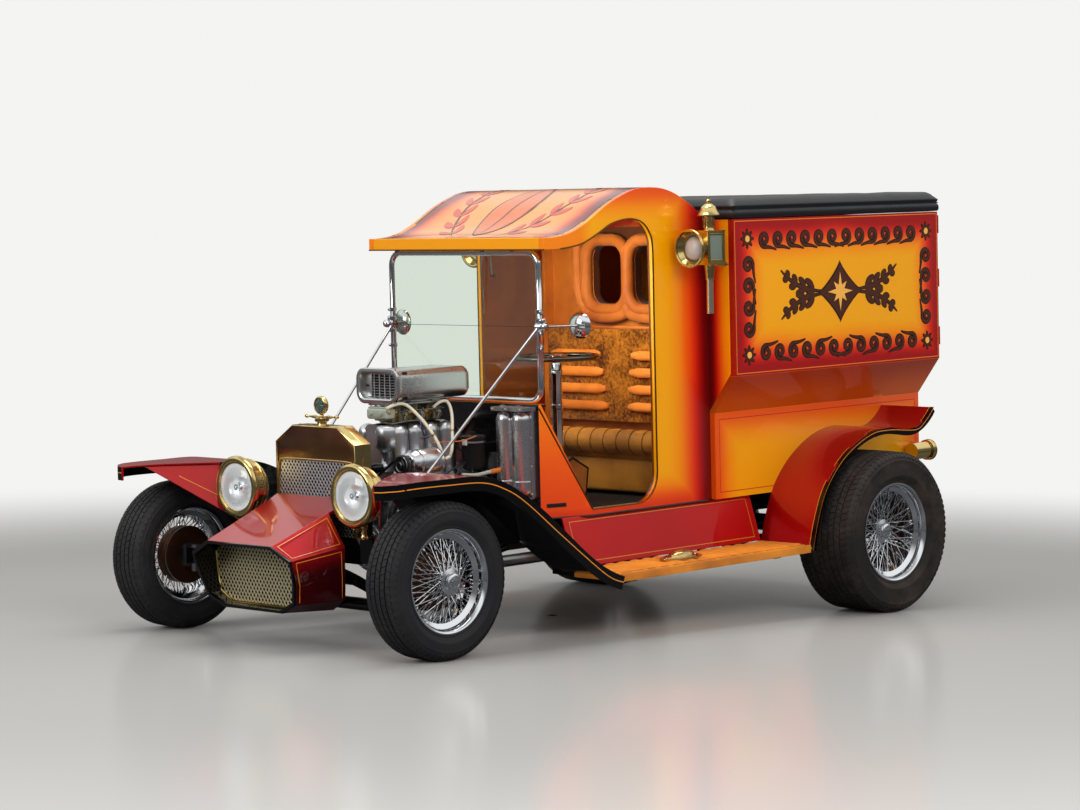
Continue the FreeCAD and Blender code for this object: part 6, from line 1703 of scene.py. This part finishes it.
def make_cab():
    """The cab's panels with their gold trims, a black welt, sill plates and a slot in each cowl side."""
    from_cad("cab_side_panels", "cab_sides", CAB, 4, 3)
    from_cad("roof_panel", "cab_roof", ROOF, 3, 3)
    from_cad("cowl_panels", "cowl", (CAB, FIREWALL), 2.5, 3,
             second=lambda p, way: p.x > 480 and abs(p.y) < 440 and p.z < 945)
    trim = smooth_path([(x, 521, z) for x, z in HEAD_LINE + DOOR_LINE], 5)
    piece("doorway_trim", pipe(trim, 3.4, 8), DARK_GOLD, twin=True)
    edge = pipe([(290, 520, 511), (400, 483, 720), (512, 446, 934)], 3.2, 8)
    visor = pipe([(535, -519, 1573), (535, 519, 1573)], 3.0, 8)
    piece("cowl_edges", [both_sides(edge), visor], DARK_GOLD)
    welt = pipe([(512, 447, 484), (291, 521, 484), (-438, 521, 484)], 4.5, 8)
    piece("cab_foot_welt", welt, BLACK, twin=True)
    sill = [slab((22, 488, 509.5), (286, 517, 513.5), 1.4),
            rows_of(slab((0, 0, 0), (250, 1.6, 1.4), 0.6, 1), CHROME, 5, (0, 4.6, 0))]
    piece("sill_plates", sill, CHROME, twin=True)
    # Each cowl slot is a black slab: painted shade in the opening.
    slot_turn = Matrix.Rotation(math.atan2(75, -222), 4, "Z")
    slot = moved(slab((-44, -2, -8), (44, 2, 8), 3), at(446, 469, 537) @ slot_turn)
    piece("cowl_slot_shade", slot, SATIN, twin=True)


def subdivide(item):
    smooth = item.modifiers.new("smooth", "SUBSURF")
    smooth.levels = smooth.render_levels = 1


def make_vinyl_roof():
    """Padded vinyl rolled over the box's edge, with a slightly uneven top."""
    left, right, half, flat = -1838, -432, 676, 1759
    across, along, edge = 46, 48, 34

    def height(x, y):
        away = min(x - left, right - x, y + half, half - y)
        drop = 0 if away >= edge else edge - math.sqrt(max(0.0, edge ** 2 - (edge - away) ** 2))
        lump = noise.noise(Vector((x / 210, y / 170,
                                   0.4))) * 5.5 + noise.noise(Vector((x / 75, y / 80, 2.1))) * 1.8
        return flat - drop + lump * min(1.0, away / 90)

    def pushed(value, low, high, inset):
        """A place across the roof that is held inside its edges, or moved out with them."""
        if inset >= 0:
            return min(max(value, low + inset), high - inset)
        return value + (inset if value < low + 1 else -inset if value > high - 1 else 0)

    grid, rim = spread([left + (right - left) * i / along for i in range(along + 1)],
                       [-half + 2 * half * j / across for j in range(across + 1)], height)
    last = rim
    for inset, z in ((0.0, 1722), (4.0, 1714), (6.5, 1709), (4.0, 1704), (-1.5, 1698), (-3.0, 1688),
                     (-2.0, 1678), (3.0, 1671),
                     (10.0, 1668)):
        ring = []
        for vert in rim:
            x, y = pushed(vert.co.x, left, right, inset), pushed(vert.co.y, -half, half, inset)
            ring.append(grid.verts.new((x, y, z + noise.noise(Vector((x / 60, y / 60, z))) * 1.2)))
        last = walled(grid, last, ring)
    grid.faces.new(last)
    item = piece("vinyl_roof", facing_out(grid), VINYL, sharp=70, stands_for=("box_roof",))
    subdivide(item)
    a, b, c = left + 6, right - 6, half - 6
    piece("roof_piping", pipe([(a, -c, 1709), (b, -c, 1709), (b, c, 1709), (a, c, 1709)], 2.2, 6, closed=True),
          SATIN)


make_box()
make_roof_ornament()
make_cab()
make_vinyl_roof()


# Cab interior

def swollen(name, work, finish, voxel, cap, stands_for=()):
    """A padded piece: its shape is remeshed, blown up a little as cloth, and smoothed."""
    item = piece(name, work, finish, sharp=75, stands_for=stands_for)
    fine = item.modifiers.new("fine", "REMESH")
    fine.mode = "VOXEL"
    fine.voxel_size = voxel
    apply_steps(item)
    before = [vert.co.copy() for vert in item.data.vertices]
    setting = item.modifiers.new("cloth", "CLOTH").settings
    setting.use_pressure = True
    setting.uniform_pressure_force = 3.0
    setting.quality = 5
    setting.mass = 0.3
    setting.effector_weights.gravity = 0
    for step in range(1, 15):
        scene.frame_set(step)
    apply_steps(item)
    scene.frame_set(1)
    for vert, spot in zip(item.data.vertices, before):
        shift = vert.co - spot
        if shift.length > cap:
            vert.co = spot + shift.normalized() * cap
    item.data.shade_smooth()
    subdivide(item)


def apply_steps(item):
    """Bake the live modifiers into the mesh."""
    seen = item.evaluated_get(bpy.context.evaluated_depsgraph_get())
    mesh = bpy.data.meshes.new_from_object(seen)
    old = item.data
    item.modifiers.clear()
    item.data = mesh
    mesh.name = item.name
    bpy.data.meshes.remove(old)


def roll(start, end, radius, pleats, depth, squeeze=1.0):
    """A stuffed roll along Y whose leather is gathered between its seams."""
    first, last = Vector(start), Vector(end)
    steps = pleats * 8
    rings = []
    for index in range(steps + 1):
        part = index / steps
        spot = first.lerp(last, part)
        near = min(part, 1 - part) * (last - first).length
        tip = math.sqrt(max(0.0, 1 - (1 - min(1.0, near / (radius * 0.5))) ** 2)) * 0.45 + 0.55
        pinch = depth * (1 - abs(math.sin(math.pi * part * pleats)) ** 0.4)
        size = (radius - pinch) * tip
        rings.append([(x, spot.y, z) for x, z in oval(spot.x, spot.z, size * squeeze, size, 22)])
    return skin(rings, capped=True)


def make_bulkhead():
    """Two rolled window frames over a fold, a velvet panel and eight backrest rolls."""
    # The faces in the window recesses take the dark hide as painted shade.
    from_cad("bulkhead_board", "bulkhead", (HIDE, RECESS_SHADE_HIDE), 3, 3,
             second=lambda p, way: -548 < p.x < -502 and 1290 < p.z < 1572 and 22 < abs(p.y) < 230)
    for name, side in SIDES:
        ring = rounded_ring(-502, side * 126, 1432, 124, 153, 84)
        item = piece(f"window_roll_{name}", pipe(ring, 27, 18, closed=True), HIDE, sharp=75)
    half = [(300, 1600), (300, 1450), (290, 1340), (240, 1268), (130, 1245), (20, 1262)]
    sweep = smooth_path([(-500, y, z) for y, z in half + [(0, 1290)] + [(-y, z) for y, z in reversed(half)]], 8)
    item = piece("bulkhead_fold", pipe(sweep, 26, 18), HIDE, sharp=75)
    piece("bulkhead_bead", pipe([(-484, -486, 1203), (-484, 486, 1203)], 7, 10), HIDE, sharp=70)
    panel = cast([(-486, 792), (486, 792), (486, 1199), (-486, 1199)], -489, -481, "YZ", 3, 2)
    item = piece("velvet_panel", panel, VELVET)
    rolls = []
    for z, right, left in ((1083, 145, 38), (1008, 130, 25), (934, 118, 18), (859, 105, 15)):
        rolls += [roll((-474, near, z), (-474, far, z), 23, 1, 0.0, 0.75) for near,
                  far in ((-446, -right), (left, 446))]
    swollen("backrest_rolls", rolls, ORANGE_HIDE, 0.006, 0.004)


def make_seat():
    """A plain base under a cushion, with a pleated roll along its front edge."""
    piece("seat_base", slab((-478, -484, 520), (-215, 484, 660), 14, 3), SEAT_HIDE, sharp=60)
    cushion = slab((-482, -470, 655), (-210, 470, 742), 34, 5)
    swollen("seat_cushion", cushion, SEAT_HIDE, 0.012, 0.010, ("seat",))
    front = roll((-216, -452, 736), (-216, 452, 736), 53, 12, 3.0)
    swollen("seat_front_roll", front, SEAT_HIDE, 0.008, 0.004)
    seams = []
    for index in range(1, 12):
        y = -452 + 904 * index / 12
        seams.append(pipe([(-216 + 52.5 * math.cos(t), y, 736 + 52.5 * math.sin(t)) for t in
                           [math.radians(-70 + 10 * k) for k in range(19)]], 1.3, 6))
    piece("seat_stitching", seams, DARK_THREAD)


def make_console():
    """A small console with black edges, wooden faces and a row of controls."""
    from_cad("console_case", "console", CONSOLE_WOOD, 2, 2)
    outline = [(-10, 506), (170, 506), (190, 636), (60, 686), (-30, 636)]
    edges = [pipe([(x, y, z) for x, z in outline], 5, 8, closed=True) for y in (-60, 190)]
    edges += [pipe([(x, -60, z), (x, 190, z)], 5, 8) for x, z in outline]
    piece("console_edges", edges, CONSOLE_EDGE)
    knobs = []
    for y, radius in ((-20, 11), (35, 8), (90, 8), (145, 14)):
        knob = lathe([(0, -2), (radius + 4, -2), (radius + 4, 2), (radius * 0.6, 4), (radius * 0.6, 12),
                      (radius, 15), (radius, 20),
                      (0, 23)], 20)
        knobs.append(moved(knob, aimed((125, y, 661), (0.36, 0, 0.93))))
    piece("console_knobs", knobs, CHROME)


make_bulkhead()
make_seat()
make_console()


# Running boards

def make_running_boards():
    """Amber leather boards with crosswise tufts and a stitched edge."""
    left, right, inner, outer, top = -716, 451, 556, 832, 289
    board = cast([(left + 6, inner + 2), (right - 4, inner + 2), (right - 4, outer - 8), (left + 6, outer - 8)],
                 top - 38, top - 10, "XY", 4)
    piece("board_cores", board, BOARD_HIDE, stands_for=("running_boards",), twin=True)
    along, across, tuft_pitch = 150, 26, 72

    def height(x, y):
        tuft = abs(math.sin(math.pi * (x - left) / tuft_pitch)) ** 0.45
        rise = min(1.0, min(y - inner - 4, outer - 12 - y, x - left - 8, right - 6 - x) / 16)
        rise = math.sqrt(max(0.0, rise * (2 - rise)))
        welt = 1 - 0.6 * math.exp(-((outer - 34 - y) / 3.5) ** 2)
        lump = noise.noise(Vector((x / 60, y / 50, 7))) * 1.2
        return top - 20 + (21 * (0.2 + 0.8 * tuft) * welt + lump) * rise

    grid, rim = spread([left + 8 + (right - left - 14) * i / along for i in range(along + 1)],
                       [inner + 4 + (outer - inner - 16) * j / across for j in range(across + 1)], height)
    grid.faces.new(walled(grid, rim, [grid.verts.new((*vert.co.xy, top - 22)) for vert in rim]))
    item = piece("board_pads", facing_out(grid), BOARD_HIDE, sharp=75, twin=True)
    edge = cast([(outer - 10, top - 38), (outer - 1, top - 38), (outer, top - 30), (outer, top - 8),
                 (outer - 4, top - 4),
                 (outer - 10, top - 6)], left + 2, right - 2, "YZ", 1.5, 2)
    piece("board_edges", edge, BOARD_EDGE, twin=True)
    stitches = rows_of(slab((0, outer - 21, top - 2), (6.5, outer - 19.4, top - 0.6), 0.5, 1), DARK_THREAD,
                       104, (11, 0, 0))
    moved(stitches, at(left + 14, 0, -1.2))
    piece("board_stitches", stitches, DARK_THREAD, twin=True)
    seams = [pipe([(left + tuft_pitch * k, inner + 14 + 14 * j, top - 14.4 + 0.8 * math.cos(math.pi * j))
                   for j in range(17)], 2.2, 6) for k in range(1, 17)]
    piece("board_seams", seams, DARK_THREAD, twin=True)
    ends = [bar((x, outer - 5, top - 20), (x + way * 6, outer - 5, top - 20), 7, 6)
            for x, way in ((right - 3, 1), (left + 3, -1))]
    piece("board_end_screws", ends, CHROME, twin=True)


def make_step_plates():
    """A brass oval plate with a domed boss and a flat tread."""
    x, y = -41, 700
    plate = cast(oval(x, y, 112, 60, 64), 288, 296, "XY", 2, 2)
    dome = moved(lathe([(0, 31), (16, 30), (32, 26), (46, 18), (52, 8), (55, 0), (52, -2)]),
                 at(x, y, 295) @ Matrix.Diagonal((1.25, 0.85, 1, 1)))
    ring = pipe([(*spot, 297) for spot in oval(x, y, 96, 47, 64)], 2.4, 8, closed=True)
    screws = fastened([(x + 103 * math.cos(t), y + 53 * math.sin(t), 296)
                       for t in (0.3, math.pi - 0.3, math.pi + 0.3, -0.3)], 4, 3)
    piece("step_plates", [plate, dome, ring, screws], BRASS, twin=True)


make_running_boards()
make_step_plates()


# Fittings

def make_plain_panels():
    """Pieces that keep the CAD shape, with softened edges and their own finish."""
    for node, finish, bevel in (
            ("splash_aprons", RED, 2.5), ("frame_rails", BLACK, 2.5), ("frame_members", BLACK, 2),
                                ("front_axle", BLACK, 1.5),
            ("knuckle_left", STEEL, 1), ("knuckle_right", STEEL, 1), ("tie_rod", BLACK, 0),
                                ("rear_axle", BLACK, 1),
            ("rear_springs", BLACK, 1), ("driveline", DARK_CAST, 1), ("exhausts", STEEL, 0),
                                ("cab_floor", CARPET, 2),
            ("box_floor", SATIN, 1), ("cylinder_heads", CAST, 0), ("firewall_box", BRIGHT, 0),
                                ("radiator_hoses", BLACK, 0),
            ("oil_filter", SATIN, 0), ("tail_lamps", BRASS, 1.2)):
        from_cad(f"{node}_shape", node, finish, bevel)


def make_windshield():
    """A chrome tube with clamps, collars, top brackets, a wiper and its hand lever, and two domed mirrors."""
    middle = 1260.5
    from_cad("windshield_tube", "windshield_frame", CHROME, 0,
             without=lambda p, way: (340 < p.x < 368 and math.hypot(abs(p.y) - 526, p.z - middle) < 57)
             or (abs(p.x - 484) < 7 and abs(p.y) < 420 and abs(p.z - middle) < 7))
    panes = from_cad("windshield_panes", "windshield_glass", PANE, 0)
    for vert in panes.data.vertices:
        spot = LEVEL @ vert.co
        if abs(spot.z - middle) < 9:
            spot.z = middle + math.copysign(0.8, spot.z - middle)
            vert.co = TIPPED @ spot
    piece("pane_seal", slab((480.6, -423, middle - 0.8), (487.4, 423, middle + 0.8), 0.3, 1), SATIN)
    works = [turned([(0, 14), (14, 13), (28, 10), (42, 4), (50, -3), (54, -8), (55, -12), (53, -15), (50, -14),
                     (49, -12),
                     (0, -12)], 48, (355, 526, middle), (1, 0.1, 0)),
             bar((484, 424, middle), (484, 464, middle), 21, 24, 15),
             slab((476, 446, 1258), (492, 466, 1296), 6),
             turned([(0, -17), (9, -15), (15, -8), (17, 0), (15, 8), (9, 15), (0, 17)], 24, (490, 470, 1262),
                    (0, 1, 0)),
             bar((476, 474, 1262), (364, 524, middle), 4, 12)]
    for z, radius in ((1322, 16), (1286, 17), (1234, 17), (1172, 16)):
        works.append(moved(lathe([(12, -8), (radius, -7), (radius, 7), (12, 8)], 24), at(484, 435, z)))
        works.append(turned([(0, 0), (6, 0), (6, 7), (3, 10), (0, 10)], 12, (491, 447, z), (0.5, 0.8, 0)))
    works.append(fastened([(1284, 336, 499), (1266, 324, 499)], 3.5, 4))
    piece("windshield_fittings", works, CHROME, twin=True)
    top = [slab((474, y - 13, 1558), (496, y + 13, 1576), 3) for y in (-390, 124, 295)]
    top += [pipe([(493, 124, 1560), (498, 123, 1500), (493, 121, 1415)], 2.4, 8),
            slab((490, 119, 1312), (493, 122.5, 1418), 0.8),
            bar((470, 152, 1552), (468, 152, 1468), 3.2, 10)]
    piece("windshield_brackets", top, STEEL)
    knobs = [bar((468, 148, 1466), (468, 172, 1464), 5, 12)] + [bar((485, y, 1574), (485, y + 26, 1578), 6, 12)
                                                                for y in (-404, 290)]
    piece("wiper_knobs", knobs, SATIN)


def make_steering():
    """A thin dark rim on three pairs of spokes, over a chrome column with collars and a foot flange."""
    body = node_body("steering_wheel")
    centre = at(176, 220, 1117)
    rim = pipe([(*spot, 0) for spot in oval(0, 0, 173, 173, 72)], 10.5, 14, closed=True)
    spokes = [lathe([(0, -19), (25, -19), (26, -14), (20, -6), (20, 4), (30, 7), (31, 11), (26, 14), (0, 14)],
                    36)]
    for turn in (90, 210, 330):
        for lean in (-4, 4):
            angle = math.radians(turn + lean)
            way = Vector((math.cos(angle), math.sin(angle), 0))
            spokes.append(bar(way * 20, way * 166, 4.2, 12, 3.4))
    piece("steering_rim", moved(rim, centre), DARK_CHROME, body=body, stands_for=("steering_wheel",))
    piece("steering_spokes", moved(merged(*spokes), centre), CHROME, body=body)
    column = lathe([(0, 506), (42, 506), (43, 509), (42, 513), (28, 517), (24, 530), (22, 534), (22, 900),
                    (25, 904), (25, 918), (22, 922),
                    (22, 1040), (26, 1046), (26, 1060), (23, 1066), (23, 1085), (18, 1097), (0, 1097)], 40)
    studs = around(moved(fastened([(0, 0, 513)], 3.5, 4), at(35, 0, 0)), CHROME, 4)
    piece("steering_column_tube", moved(merged(column, studs), at(176, 220, 0)), CHROME,
          body=node_body("steering_column"), stands_for=("steering_column",))


def make_carriage_lamps():
    """Square brass lanterns with beaded corners, framed panes, a domed lens in the bell and a pale stem."""
    from_cad("carriage_lamp_shells", "carriage_lamps", (BRASS, PALE_STEM), 1.2,
             second=lambda p, way: p.z < 1424)
    bell = (-272, 640, 1553)
    works = [bar((x, y, 1492), (x, y, 1620), 4.5, 10) for x in (-369, -271) for y in (602, 679)]
    works += [slab((-364, 677, z), (-276, 681.5, z + 6), 1.5) for z in (1499, 1607)]
    works += [slab((x, 677, 1499), (x + 6, 681.5, 1613), 1.5) for x in (-364, -282)]
    works += [slab((-373, 610, z), (-369, 671, z + 6), 1.5) for z in (1499, 1607)]
    works += [slab((-373, y, 1499), (-369, y + 6, 1613), 1.5) for y in (608, 667)]
    works.append(turned([(73, 66), (79, 69), (81, 74), (79, 79), (74, 80), (70, 77), (70, 72)], 56, bell,
                        FORWARD))
    works.append(moved(lathe([(0, 0), (4, 1), (5.5, 5), (4, 9), (0, 10)], 8), at(-320, 640, 1756)))
    rib = moved(slab((-1.6, -4, 0), (1.6, 4, 42), 1), at(20.5, 0, 0) @ Matrix.Rotation(math.pi / 2, 4, "Z"))
    works.append(moved(around(rib, BRASS, 10), at(-320, 640, 1638)))
    piece("carriage_lamp_mouldings", works, BRASS, sharp=40, twin=True)
    panes = merged(slab((-359, 675, 1505), (-281, 677.5, 1607), 0.6),
                   slab((-371.6, 614, 1505), (-370, 667, 1607), 0.6))
    piece("carriage_lamp_panes", panes, LANTERN_PANE, twin=True)
    dome = turned([(50, 40), (50, 46), (46, 54), (37, 62), (23, 68), (0, 71)], 40, bell, FORWARD)
    piece("carriage_lamp_domes", dome, LANTERN_DOME, twin=True)


def make_rear_details():
    """Door frames' painted lines, a latch bar and handle, and ruby lenses."""
    for hand, side in SIDES:
        node = f"rear_door_{hand}"
        body = node_body(node)
        from_cad(f"{node}_panel", node, BOX, 4, 3)
        lines = []
        for near, far, low, high in ((40, 600, 1046, 1632), (40, 478, 530, 826)):
            first, last = sorted((side * near, side * far))
            corners = [(BOX_REAR, y, z) for y, z in ((last, low), (first, low), (first, high), (last, high))]
            lines.append(pin_frame(corners, 0, 3.2, 0.7))
        piece(f"{node}_lines", lines, ART_ORANGE, body=body, sharp=60)
    latch = [slab((-1836, 36, 944), (-1829, 64, 1040), 2.5), bar((-1836, 50, 1010), (-1856, 50, 1010), 7, 16),
             pipe([(-1855, 50, 1016), (-1857, 50, 984), (-1853, 50, 930), (-1850, 50, 896)], [7, 6, 5, 6.5],
                  12),
             bar((-1835, 22, 530), (-1835, 22, 1620), 5, 12)]
    latch += [slab((-1842, 12, z), (-1829, 32, z + 22), 3) for z in (560, 800, 1090, 1360, 1590)]
    piece("door_latch", latch, CHROME, body=node_body("rear_door_left"))
    for name, profile, finish in (
            ("tail_lenses", [(0, 16), (14, 15), (28, 12), (38, 6), (40, -1), (0, -1)], RUBY),
            ("tail_lens_rings", [(38, -1), (47, -1), (48, 3), (45, 7), (40, 7)], BRASS)):
        piece(name, turned(profile, 40, (-1838, 593, 592), (-1, 0, 0)), finish, twin=True)


def make_engine_details():
    """Head bolts and cover flanges, bolts of the firewall casting, a filter clip and a vapour pipe."""
    bolts = fastened([(x, y, 285) for x in range(640, 970, 64) for y in (-61, 61)], 5.5, 6)
    lip = slab((636, -56, 283), (964, 56, 289), 2.5)
    nuts = fastened([(x, 0, 330) for x in (660, 800, 940)], 7, 9)
    head = merged(bolts, lip, nuts)
    for name, side in SIDES:
        place = TIPPED @ at(0, 0, 400) @ Matrix.Rotation(math.radians(-45 * side), 4, "X")
        piece(f"head_fastenings_{name}", head.copy(), BRIGHT, place)
    spots = [(540, y, z) for y in (264, 424) for z in (586, 700, 815, 915)]
    cover = [fastened(spots, 5, 5, FORWARD), fastened([(600, y, 932) for y in (266, 343, 424)], 5, 5, FORWARD),
             fastened([(572, y, 940) for y in (300, 387)], 12, 7)]
    for y in (300, 387):
        cover.append(pipe([(554 + 43 * math.cos(t), y + 43 * math.sin(t), 640)
                           for t in [math.radians(a) for a in range(-88, 89, 8)]], 2.5, 8))
    cover.append(moved(lathe([(44, -4), (50.5, -3), (50.5, 3), (44, 4)], 40), at(645, 200, 800)))
    piece("firewall_fastenings", cover, BRIGHT)
    piece("filter_clip", slab((689, 188, 788), (698, 212, 812), 2), PALE_ENAMEL)
    piece("vapour_pipe", pipe(smooth_path([(763, 250, 677), (700, 268, 672), (650, 288, 680), (605, 300, 685)],
                                          6), 7.5, 12), SAGE_ALLOY)
    piece("vapour_pipe_end", bar((640, 291, 681), (596, 302, 686), 10, 14), ORANGE_WIRE)


def make_apron_lines():
    """The thin line round each splash apron."""
    y = 505
    face = [(-680, y, 486), (440, y, 486), (440, y + 63, 289), (-680, y + 63, 289)]
    piece("apron_pinstripes", pin_frame(face, 18, 3.0, 0.8), GOLD, sharp=60, twin=True)


make_plain_panels()
make_windshield()
make_steering()
make_carriage_lamps()
make_rear_details()
make_engine_details()
make_apron_lines()


bpy.context.view_layer.update()
